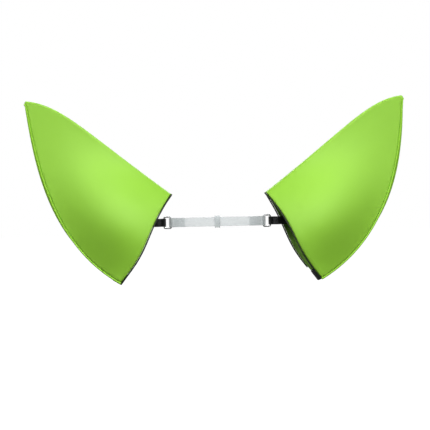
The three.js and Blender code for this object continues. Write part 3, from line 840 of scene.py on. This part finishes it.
def make_panels():
    for side in ("front", "back"):
        cover = layer(side, True, 0.0, 64, 44, 0.2 * MM, HEM_INSET - 0.25 * MM,
                      (ARMHOLE_INSET - 0.6 * MM, VISIBLE_TIP_INSET), EDGE_ROLL, RIDGE_ROLL,
                      2.3 * MM)
        core = layer(side, True, COVER + LAYER_GAP, 40, 26, RIDGE_INSET + 1.2 * MM,
                     HEM_INSET + 1.4 * MM, (ARMHOLE_INSET + 0.9 * MM, TIP_INSET + 2 * MM),
                     1.3 * MM, 1.5 * MM, 1.4 * MM)
        inner = layer(side, False, COVER + FOAM + 2 * LAYER_GAP + LINING, 52, 36, RIDGE_INSET,
                      HEM_INSET - 0.1 * MM, (ARMHOLE_INSET - 0.4 * MM, TIP_INSET), EDGE_ROLL,
                      0.5 * MM, 2.2 * MM, outward=-1)
        covers = pair(f"{side}_satin_cover", cover, "cover",
                      nodes=[f"{side}_cover"], dress=thickened(COVER_CLOTH))
        cores = pair(f"{side}_foam_panel", core, "foam", nodes=[f"{side}_core"],
                     dress=thickened(FOAM_SHOWN))
        linings = pair(f"{side}_lining_cloth", inner, "lining",
                       nodes=[f"{side}_lining"], dress=thickened(LINING_CLOTH))


make_panels()

# ---- corded and bound edges


def hem_line(panel, inset, depth, count=150):
    """The hem's edge of a layer, as a line from the armhole to the tip."""
    u = np.linspace(FIRST_RIB, LAST_RIB, count)
    _, scale = rib_scale(panel, u)
    most = 0.45 * inset / HEM_INSET
    return panel_point(panel, u, 1 - np.minimum(inset / scale, most), depth)


def off_the_edge(edge, inside, far):
    """The line moved off the panel, square to the edge as seen from the front."""
    flat_edge = edge * (1, 0, 1)
    way = ways(flat_edge)
    away = flat_edge - inside * (1, 0, 1)
    away -= way * (away * way).sum(1, keepdims=True)
    return edge + far * away / np.linalg.norm(away, axis=1, keepdims=True)


def hem_bead(panel):
    edge = hem_line(panel, HEM_INSET, PANEL / 2)
    inside = hem_line(panel, HEM_INSET + 3 * MM, PANEL / 2)
    line = off_the_edge(edge, inside, BEAD_RADIUS + 0.15 * MM)
    return cord_along(resampled(line, 2.2 * MM), BEAD_RADIUS, 14)


def seam_row(edge, panel, inset, count, skip):
    """Stitches along an edge of the cover, a little way in from it."""
    both = np.hstack([edge(panel, inset, depth, count) for depth in (0.0, 1 * MM)])
    return stitches(both[skip[0]:-skip[1]])


def make_hem_beads():
    for side in ("front", "back"):
        pair(f"{side}_hem_piping", lambda hand: hem_bead(PANELS[hand, side]), "edge",
             nodes=[f"{side}_hem_binding"])
        pair(f"{side}_hem_stitches", lambda hand: seam_row(
            hem_line, PANELS[hand, side], HEM_SEAM, 400, (6, 12)), "thread")


def armhole_edge(panel, inset, depth, count=90):
    u = np.full(count, inset / RIDGE.length)
    ridge_scale, hem_scale = rib_scale(panel, u)
    top = RIDGE_INSET / ridge_scale
    foot = 1 - HEM_INSET / hem_scale
    v = top + (foot - top) * np.linspace(0, 1, count)
    return panel_point(panel, u, v, depth)


def armhole_cord(hand):
    lines = []
    for side in ("front", "back"):
        edge = armhole_edge(PANELS[hand, side], ARMHOLE_INSET, PANEL / 2)
        inside = armhole_edge(PANELS[hand, side], ARMHOLE_INSET + 3 * MM, PANEL / 2)
        lines.append(off_the_edge(edge, inside, BINDING_RADIUS - 0.1 * MM))
    front, back = lines
    over = (front[0] + back[0]) / 2 - (BINDING_RADIUS / 2, 0, 0)
    line = smooth_path(np.vstack([front[::-9], [over], back[::9]]), 2 * MM)
    return cord_along(line, ARMHOLE_BEAD, 12)


def make_armhole_binding():
    # The binding's near-black finish is painted shadow along the armhole edge.
    pair("armhole_bias_binding", armhole_cord, "binding",
         nodes=["armhole_binding"])
    for side in ("front", "back"):
        pair(f"{side}_armhole_stitches", lambda hand: seam_row(
            armhole_edge, PANELS[hand, side], ARMHOLE_SEAM, 300, (8, 6)), "thread")


def ridge_line(drop, first=FIRST_RIB, last=LAST_RIB, count=160):
    """A line along the middle of the ridge, a little below its top."""
    u = np.linspace(first, last, count)
    top, way = RIDGE.at(u), RIDGE.along(u)
    x = top[:, 0] + way[:, 1] * drop
    return np.stack([x, sweep_back(x), top[:, 1] - way[:, 0] * drop], -1), way


def make_ridge_seam():
    line, _ = ridge_line(0.75 * MM, FIRST_RIB * 0.8, 1 - 4 * MM / RIDGE.length)
    pair("ridge_seam_cord", cord_along(resampled(line, 2.5 * MM), RIDGE_CORD, 10), "edge",
         nodes=["ridge_piping"])


make_hem_beads()
make_armhole_binding()
make_ridge_seam()

# ---- stay and its casing


def rounded_box(wide, high, corner, steps=4):
    turn = np.linspace(0, np.pi / 2, steps)
    out = []
    for quarter, (sx, sy) in enumerate([(1, 1), (-1, 1), (-1, -1), (1, -1)]):
        angle = turn + quarter * np.pi / 2
        middle = np.array([sx * (wide / 2 - corner), sy * (high / 2 - corner)])
        out.append(middle + corner * np.stack([np.cos(angle), np.sin(angle)], -1))
    return np.vstack(out)


def ridge_frames(drop, first, last, count):
    line, way = ridge_line(drop, first, last, count)
    across = np.tile((0.0, 1.0, 0.0), (count, 1))
    down = np.stack([way[:, 1], 0 * way[:, 0], -way[:, 0]], -1)
    return line, across, down


def sleeve(frames, outer, inner):
    """A tube with a wall, open at both ends."""
    origins, across, up = frames
    out_points, out_faces = loft(origins, across, up, outer, capped=False)
    in_points, in_faces = loft(origins, across, up, inner, capped=False)
    shape = joined([(out_points, out_faces), (in_points, [f[::-1] for f in in_faces])])
    sides, start = len(outer), len(out_points)
    last = (len(origins) - 1) * sides
    for k in range(sides):
        m = (k + 1) % sides
        shape[1].append((m, k, start + k, start + m))
        shape[1].append((last + k, last + m, start + last + m, start + last + k))
    return shape


def make_stay():
    frames = ridge_frames(STAY_DROP, *STAY_RUN, 90)
    pair("ridge_spring", loft(*frames, rounded_box(STAY_THICK, STAY_WIDE, 0.35 * MM)), "steel",
         nodes=["ridge_stay"], dress=softened(0.2 * MM, 2))
    bore = (STAY_THICK + 2 * CLEAR, STAY_WIDE + 2 * CLEAR)
    skin = [size + 2 * CASING_WALL for size in bore]
    inner_frames = ridge_frames(STAY_DROP, STAY_RUN[0] + 0.01, STAY_RUN[1] - 0.01, 120)
    pair("stay_tape", sleeve(inner_frames, rounded_box(*skin, 0.9 * MM),
                               rounded_box(*bore, 0.5 * MM)), "webbing",
         nodes=["stay_casing"])
    rows = []
    for facing in (-1, 1):
        for down in (-1, 1):
            line, across, under = ridge_frames(STAY_DROP, STAY_RUN[0] + 0.02,
                                               STAY_RUN[1] - 0.02, 300)
            line = (line + across * facing * skin[0] / 2
                    + under * down * (skin[1] / 2 - 1.4 * MM))
            rows.append(stitches(line, (0, facing, 0)))
    pair("casing_stitches", joined(rows), "dark_thread")


make_stay()

# ---- shoulder pad and web

PAD_PLACE = (Matrix.Translation(Vector(PAD_MIDDLE))
             @ Matrix.Rotation(math.radians(PAD_SLOPE), 4, "Y"))


def pad_outline(turn):
    x = PAD_LENGTH / 2 * np.cos(turn)
    wide = PAD_HALF_WIDTHS[0] + (PAD_HALF_WIDTHS[1] - PAD_HALF_WIDTHS[0]) * (0.5 + x / PAD_LENGTH)
    return np.stack([x, wide * np.sin(turn) * (1 + 0.25 * (1 - np.abs(np.cos(turn))))], -1)


def pad_blank():
    """The pad before it is filled: a low, slightly small pillow with a flat underside."""
    turn = np.arange(PAD_SIDES) * 2 * np.pi / PAD_SIDES
    rim = pad_outline(turn)
    rings = [(0.25, 0.0), (0.55, 0.0), (0.86, 0.0), (0.93, 0.2), (0.96, 0.5), (0.93, 0.8),
             (0.8, 1.05), (0.55, 1.25), (0.25, 1.35)]
    points = np.vstack([np.hstack([rim * share, np.full((PAD_SIDES, 1), z * PAD_EDGE)])
                        for share, z in rings])
    return points, tube_faces(len(rings), PAD_SIDES) + end_caps(len(rings), PAD_SIDES)


def corners_of(mesh):
    flat = np.empty(len(mesh.vertices) * 3)
    mesh.vertices.foreach_get("co", flat)
    return flat.reshape(-1, 3)


def filled(points, faces):
    """Swells the pad by cloth pressure, with its underside held flat."""
    piece = make_piece("pad_fill", points, faces, "pad")
    remesh = piece.modifiers.new("voxels", "REMESH")
    remesh.mode = "VOXEL"
    remesh.voxel_size = FILL_VOXEL
    graph = bpy.context.evaluated_depsgraph_get()
    mesh = bpy.data.meshes.new_from_object(piece.evaluated_get(graph))
    piece.modifiers.clear()
    piece.data = mesh
    before = corners_of(mesh)
    held = piece.vertex_groups.new(name="underside")
    held.add([int(k) for k in np.flatnonzero(before[:, 2] < 1.0 * MM)], 1.0, "REPLACE")
    settings = piece.modifiers.new("swell", "CLOTH").settings
    settings.use_pressure = True
    settings.uniform_pressure_force = FILL_PRESSURE
    settings.tension_stiffness = FILL_STIFFNESS
    settings.compression_stiffness = FILL_STIFFNESS
    settings.effector_weights.gravity = 0
    settings.vertex_group_mass = "underside"
    for at in range(1, FILL_FRAMES + 1):
        bpy.context.scene.frame_set(at)
    graph = bpy.context.evaluated_depsgraph_get()
    move = corners_of(piece.evaluated_get(graph).data) - before
    far = np.linalg.norm(move, axis=1, keepdims=True)
    after = before + move * np.minimum(1, FILL_MOST / np.maximum(far, 1e-9))
    after[:, 2] = np.maximum(after[:, 2], 0)
    bpy.context.scene.frame_set(1)
    faces = [tuple(face.vertices) for face in piece.data.polygons]
    bpy.data.objects.remove(piece)
    return after, faces


def make_pad():
    points, faces = pad_blank()
    points, faces = filled(points, faces)
    points = points * (1, 1, min(1.0, (PAD_EDGE + PAD_CROWN) / points[:, 2].max()))

    def rounder(piece):
        piece.modifiers.new("soft_skin", "SUBSURF").render_levels = 1

    pads = pair("filled_pad", (points, faces), "pad", nodes=["shoulder_pad"],
                place=PAD_PLACE, dress=rounder)
    turn = np.linspace(0, 2 * np.pi, 181)[:-1]
    rim = np.hstack([0.975 * pad_outline(turn), np.full((180, 1), 0.5 * PAD_EDGE)])
    pair("pad_piping", cord_along(resampled(rim, 2 * MM, True), 0.9 * MM, 10, closed=True),
         "edge", place=PAD_PLACE)


def web_span(u):
    """Top and bottom of the web below the ridge at u."""
    lower = STAY_DROP + STAY_WIDE / 2 + CASING_WALL + 2 * CLEAR
    slope = math.tan(math.radians(PAD_SLOPE))
    crown = (PAD_EDGE + PAD_CROWN) / math.cos(math.radians(PAD_SLOPE))
    pad_top = PAD_MIDDLE[2] + crown + CLEAR
    top, way = RIDGE.at(u), RIDGE.along(u)
    x = top[:, 0] + way[:, 1] * lower
    high = top[:, 1] - way[:, 0] * lower
    low = pad_top - (x - PAD_MIDDLE[0]) * slope
    return x, high, low


def make_web():
    u = np.linspace(*WEB_RUN, 40)
    x, high, low = web_span(u)
    rows = np.linspace(0, 1, 14)[None, :]
    z = high[:, None] + (low - high)[:, None] * rows
    along = x[:, None] + 0 * rows
    bow = 0.35 * MM * np.sin(9 * rows + 40 * u[:, None]) * np.sin(np.pi * rows)
    y = sweep_back(along) + bow
    half = WEB_THICK / 2 - 0.1 * MM
    front, back = (np.stack([along, y + offset, z], -1) for offset in (-half, half))
    count, deep = along.shape
    shape = joined([(front.reshape(-1, 3), grid_faces(count, deep, True)),
                    (back.reshape(-1, 3), grid_faces(count, deep, False))])
    index = np.arange(count * deep).reshape(count, deep)
    ring = [*index[:, 0], *index[-1, 1:], *index[-2::-1, -1], *index[0, -2:0:-1]]
    ring = [int(k) for k in ring]
    start = count * deep
    for a, b in zip(ring, ring[1:] + ring[:1]):
        shape[1].append((b, a, a + start, b + start))
    webs = pair("web_cloth", shape, "lining", nodes=["pad_web"])


make_pad()
make_web()

# ---- straps and hardware

STRAP_PLACE = (Matrix.Translation(Vector(STRAP_MIDDLE))
               @ Matrix.Rotation(math.radians(-STRAP_TILT), 4, "Y"))
LINK_PLACE = Matrix.Translation((0, 0, LINK_PIVOT[2]))
RUN = np.array([math.cos(math.radians(RUN_DIRECTION)), math.sin(math.radians(RUN_DIRECTION))])
INNER_BAR = RING_MIDDLE - RUN * RING_SPAN / 2
OUTER_BAR = RING_MIDDLE + RUN * RING_SPAN / 2
RIGHT = np.array([1.0, 0.0])


def on_the_run(point):
    """Where hardware sits on the straight run of the arm strap."""
    turn = Matrix.Rotation(math.radians(RUN_DIRECTION), 4, "Z")
    return STRAP_PLACE @ Matrix.Translation((*point, 0)) @ turn


def band_profile(thick, wide, ribs, rib_height):
    """Section of a flat band: fine ribs on both faces and round edges."""
    across = np.linspace(-0.5, 0.5, ribs * 4 + 1)
    edge = thick / 2
    bump = rib_height * (0.5 + 0.5 * np.cos(2 * np.pi * ribs * across + np.pi)) - rib_height
    inner = across * (wide - thick * 0.8)
    upper = np.stack([edge + bump, inner], -1)
    turn = np.linspace(np.pi / 2, -np.pi / 2, 7)[1:-1]
    rim = np.stack([(edge - rib_height) * np.sin(turn),
                    (wide - thick * 0.8) / 2 + 0.4 * thick * np.cos(turn)], -1)
    lower = np.stack([-(edge + bump), inner], -1)[::-1]
    other = np.stack([-rim[:, 0], -rim[:, 1]], -1)
    return np.vstack([upper, rim, lower, other])[::-1]


TAPER_STEPS = 12
FRONT_TAPER = 0.7


def band(path, thick, wide, ribs, rib_height=0.14 * MM, taper=1.0):
    """A flat band that follows a path seen edge-on, its width along Z, its start tapered."""
    path = np.hstack([path, np.zeros((len(path), 1))])
    way = ways(path)
    across = np.stack([-way[:, 1], way[:, 0], 0 * way[:, 0]], -1)
    up = np.tile((0.0, 0.0, 1.0), (len(path), 1))
    run = np.arange(len(path)) / TAPER_STEPS
    size = np.minimum(1, taper + (1 - taper) * run)
    return loft(path, across, up, band_profile(thick, wide, ribs, rib_height), size)


def eye_path(bar, way, inside, thick, neck):
    """Round a bar and back beside itself, as seen edge-on; way points from strap to bar."""
    side = np.array([-way[1], way[0]])
    mid = inside + thick / 2
    half = 0.53 * thick
    rows = [(-neck, -half), (-neck * 0.62, -half * 1.3), (-0.98 * mid, -0.62 * mid), (0, -mid),
            (0.72 * mid, -0.7 * mid), (mid, 0), (0.72 * mid, 0.7 * mid), (0, mid),
            (-0.98 * mid, 0.62 * mid), (-neck * 0.62, half * 1.3), (-neck, half)]
    return [bar + a * way + b * side for a, b in rows]


def cross_box(middle, way, facing, long, wide, pitch=2.4 * MM):
    """A sewn box with a cross in it, on a face of a band."""
    a, b = long / 2, wide / 2
    corners = [(-a, -b), (a, -b), (a, b), (-a, b), (-a, -b), (a, b), (-a, b), (a, -b)]
    lines = [(0, 1), (1, 2), (2, 3), (3, 4), (4, 5), (6, 7)]
    parts = []
    for first, last in lines:
        ends = [middle + np.append(way * corners[k][0], corners[k][1]) for k in (first, last)]
        parts.append(stitches(ends, facing, pitch * 0.75, pitch * 0.25, 0.2 * MM))
    return joined(parts)


def make_arm_strap():
    neck = LOOP_INSIDE + 2 * STRAP_THICK + 1.5 * MM
    side = np.array([-RUN[1], RUN[0]])
    run_start = INNER_BAR - RUN * (LOOP_INSIDE + 2 * STRAP_THICK + DOUBLED)
    eye = eye_path(INNER_BAR, RUN, LOOP_INSIDE, STRAP_THICK, neck)
    lead = np.vstack([STRAP_ROUTE[:-1], STRAP_ROUTE[-1:] * 0.75 + run_start * 0.25])
    half = 0.53 * STRAP_THICK
    straight = [run_start + RUN * t - side * half for t in (3 * MM, DOUBLED * 0.5)]
    back = [run_start + RUN * t + side * half for t in (DOUBLED * 0.5, 1 * MM)]
    path = smooth_path(np.vstack([lead, straight, eye, back]), 0.9 * MM)
    strap = band(path, STRAP_THICK, STRAP_WIDE, 16, taper=FRONT_TAPER)
    pair("arm_elastic", strap, "elastic",
         nodes=["arm_strap"], place=STRAP_PLACE)
    box_middle = run_start + RUN * 8 * MM + side * (half + STRAP_THICK / 2 - 0.05 * MM)
    sewn = cross_box(np.append(box_middle, 0), RUN, np.append(side, 0), 10 * MM, 13 * MM)
    pair("arm_strap_stitches", sewn, "dark_thread", place=STRAP_PLACE)


def against_lining(shape):
    """Leans a tab's tail on the back lining, which turns away across the tab's width."""
    points, faces = shape
    far = np.clip((points[:, 0] - 6 * MM) / (8 * MM), 0, 1)
    points = points.copy()
    points[:, 1] += far * (3.4 * MM + 0.48 * points[:, 2])
    return points, faces


def tab_band(tail, lift, eye, wide, ribs, trim=0.0):
    """A webbing tab: along its tail, round the bar and back on the other side."""
    back = (tail - lift)[::-1]
    back[-1, 0] -= trim
    path = smooth_path(np.vstack([tail + lift, eye, back]), 0.7 * MM)
    return band(path, TAB_THICK, wide, ribs, 0.1 * MM)


def make_back_tab():
    way = np.array([-1.0, -0.35])
    way /= np.linalg.norm(way)
    eye = eye_path(OUTER_BAR, way, LOOP_INSIDE, TAB_THICK, LOOP_INSIDE + 4.5 * MM)
    loop = tab_band(TAB_TAIL, np.array([0, 0.53 * TAB_THICK]), eye, STRAP_WIDE - 2 * MM, 10,
                    3 * MM)
    pair("back_webbing_loop", against_lining(loop), "webbing",
         nodes=["back_strap_tab"], place=STRAP_PLACE)
    middle = np.append(TAB_TAIL.mean(0) - (0, 1.05 * TAB_THICK), 0)
    sewn = against_lining(cross_box(middle, RIGHT, (0, -1, 0), 9 * MM, 12 * MM))
    pair("back_tab_stitches", sewn, "dark_thread", place=STRAP_PLACE)


def wire_ring(wide):
    """Rectangular ring of round wire, its long bars along Z, and the joint where it closes."""
    long = wide + 1.2 * MM + BAR
    corner = 2.2 * MM
    outline = rounded_box(RING_SPAN, long, corner, 7)
    line = resampled(np.insert(outline, 1, 0, axis=1), 1 * MM, True)
    way = ways(line, True)
    across = np.tile((0.0, 1.0, 0.0), (len(line), 1))
    up = np.cross(way, across)
    ring = loft(line, across, up, circle(BAR / 2, 12), closed=True)
    seam = np.array([[RING_SPAN * 0.12 * k, 0, long / 2] for k in (-1, -0.5, 0, 0.5, 1)])
    return joined([ring, cord_along(seam, BAR / 2 + 0.12 * MM, 12, wobble=0)])


def ring_hardware():
    pair("arm_wire_ring", wire_ring(STRAP_WIDE), "wire", body="ring",
         nodes=["strap_ring"], place=on_the_run(RING_MIDDLE))


def keeper_shape(wide, thick):
    """Moulded keeper that slides on a strap: long along X, wide along Z."""
    bore = (thick + 2 * KEEPER_PLAY, wide + 2 * KEEPER_PLAY)
    skin = [size + 2 * KEEPER_WALL for size in bore]
    xs = np.array([-0.5, -0.47, -0.36, -0.3, 0.3, 0.36, 0.47, 0.5]) * KEEPER_LONG
    grow = np.array([0.93, 1.0, 1.0, 0.955, 0.955, 1.0, 1.0, 0.93])
    outer = rounded_box(*skin, 1.3 * MM, 5)
    inner = rounded_box(*bore, 0.3 * MM, 5)
    rings = []
    for x, size in zip(xs, grow):
        swollen = outer * (1 - (1 - size) * skin[1] / skin[0], size)
        rings.append(np.insert(swollen, 0, x, axis=1))
    rings += [np.insert(inner, 0, x, axis=1) for x in xs[::-1]]
    faces = tube_faces(len(rings), len(outer), closed=True)
    return np.vstack(rings), [face[:1] + face[:0:-1] for face in faces]


def make_keepers():
    middle = INNER_BAR - RUN * (LOOP_INSIDE + DOUBLED / 2)
    pair("arm_keeper_moulding", keeper_shape(STRAP_WIDE, 2 * STRAP_THICK), "plastic",
         body="keeper", nodes=["strap_keeper"], place=on_the_run(middle),
         dress=softened(0.25 * MM, 2))
    placed_piece("link_keeper_moulding", keeper_shape(LINK_WIDE, LINK_THICK), "clear_plastic",
                 "link_keeper", ["link_keeper"],
                 Matrix.Translation(Vector(LINK_PIVOT * (0, 1, 1))), softened(0.25 * MM, 2))


def make_front_patch():
    x, y = STRAP_ROUTE[0]
    middle = np.array([x - 6 * MM, y + STRAP_THICK / 2 + CLEAR + 0.7 * MM, 0])
    outline = rounded_box(12 * MM, FRONT_TAPER * STRAP_WIDE + 3 * MM, 2 * MM, 5)
    heights, sizes = zip((-0.5, 0.96), (-0.3, 1.0), (0.3, 1.0), (0.5, 0.96))
    points, faces = loft([middle + (0, h * MM, 0) for h in heights], [(1, 0, 0)] * 4,
                         [(0, 0, 1)] * 4, outline, sizes)
    pair("front_sewn_patch", (points, [face[::-1] for face in faces]), "webbing",
         nodes=["front_strap_patch"], place=STRAP_PLACE)
    sewn = cross_box(middle + (0, 0.5 * MM, 0), RIGHT, (0, 1, 0), 8 * MM, 12 * MM)
    pair("front_patch_stitches", sewn, "dark_thread", place=STRAP_PLACE)


def make_link_ends():
    x, y, z = LINK_PIVOT
    pair("link_wire_ring", wire_ring(LINK_WIDE), "wire", nodes=["link_ring"],
         place=Matrix.Translation((x + RING_SPAN / 2, y, z)))
    eye = eye_path(np.array([x + RING_SPAN, y]), -RIGHT, LINK_LOOP_INSIDE, TAB_THICK,
                   LINK_LOOP_INSIDE + 3.5 * MM)[::-1]
    loop = tab_band(LINK_TAB_TAIL, 0.53 * TAB_THICK * np.array([0.42, -0.9]), eye,
                    LINK_WIDE - 2 * MM, 9)
    pair("link_webbing_loop", loop, "webbing", nodes=["link_tab"], place=LINK_PLACE)


def make_link_strap():
    """Clear elastic from ring to ring, folded back and sewn down at both ends."""
    x, y = LINK_PIVOT[:2]
    half = 0.53 * LINK_THICK
    neck = LINK_LOOP_INSIDE + 2 * LINK_THICK + 1 * MM
    path, sewn = [], []
    for way in (-1, 1):
        eye = eye_path(np.array([way * x, y]), way * RIGHT, LINK_LOOP_INSIDE, LINK_THICK, neck)
        end = way * (x - LINK_DOUBLED)
        path += [(end, y + way * half), *eye[::-1], (end, y - way * half)]
        middle = np.array([way * (x - LINK_DOUBLED + 6 * MM), y - half - LINK_THICK / 2, 0])
        sewn.append(cross_box(middle, RIGHT, (0, -1, 0), 8 * MM, 10 * MM))
    strap = band(smooth_path(path, 1.0 * MM), LINK_THICK, LINK_WIDE, 13)
    placed_piece("link_strap_elastic", strap, "clear_elastic", "harness",
                 ["link_strap"], LINK_PLACE)
    placed_piece("link_strap_stitches", joined(sewn), "clear_elastic",
                 "harness", place=LINK_PLACE)


make_arm_strap()
make_back_tab()
ring_hardware()
make_keepers()
make_front_patch()
make_link_ends()
make_link_strap()

# ---- studio


def soft_light(name, place, aim, size, power):
    data = bpy.data.lights.new(name, "AREA")
    data.shape = "RECTANGLE"
    data.size, data.size_y = size
    data.energy = power
    light = bpy.data.objects.new(name, data)
    bpy.context.scene.collection.objects.link(light)
    light.location = place
    way = Vector(aim) - Vector(place)
    light.rotation_euler = way.to_track_quat("-Z", "Y").to_euler()


ROOM_LIGHT = (0.93, 0.96, 1.0, 1)
ROOM_STRENGTH = 0.05
FLOOR_HALF = 14.0
FLOOR_COLOUR = (0.02, 0.02, 0.02, 1)       # as the light meets it
FLOOR_SHOWN = (0.9, 0.9, 0.9, 1)           # as the camera sees it


def make_world():
    """White to the camera, but dim as a light."""
    world = bpy.data.worlds.new("white_room")
    bpy.context.scene.world = world
    world.use_nodes = True
    graph = Graph(world.node_tree)
    shown = graph.fill(world.node_tree.nodes["Background"], (WHITE, 1.0), {})[0]
    lit = graph.put("ShaderNodeBackground", ROOM_LIGHT, ROOM_STRENGTH)
    seen = graph.put("ShaderNodeLightPath", out="Is Camera Ray")
    blend = graph.put("ShaderNodeMixShader", seen, lit, shown)
    graph.feed(world.node_tree.nodes["World Output"].inputs[0], blend)


def make_floor():
    corners = [(x * FLOOR_HALF, y * FLOOR_HALF, FLOOR_LEVEL)
               for x, y in ((-1, -1), (1, -1), (1, 1), (-1, 1))]
    finish = Finish("pale_floor")
    seen = finish.put("ShaderNodeLightPath", out="Is Camera Ray")
    finish.shade(Base_Color=finish.mixed(seen, FLOOR_COLOUR, FLOOR_SHOWN), Roughness=0.9,
                 Emission_Color=WHITE, Emission_Strength=finish.times(seen, 1.0))
    mesh = bpy.data.meshes.new("pale_floor")
    mesh.from_pydata(corners, [], [(0, 1, 2, 3)])
    mesh.materials.append(finish.material)
    plane = bpy.data.objects.new("pale_floor", mesh)
    bpy.context.scene.collection.objects.link(plane)


def make_lights():
    soft_light("key_above_front", (0, -2.6, 2.6), (0, 0, 0), (5.0, 1.5), 174)
    soft_light("fill_left", (2.4, -1.3, 1.2), (0.2, 0, 0), (1.2, 1.2), 25)
    soft_light("fill_right", (-2.4, -1.3, 1.2), (-0.2, 0, 0), (1.2, 1.2), 20)
    soft_light("wash_behind", (0, 2.9, 1.2), (0, 0, 0), (3.6, 1.2), 90)


make_world()
make_floor()
make_lights()
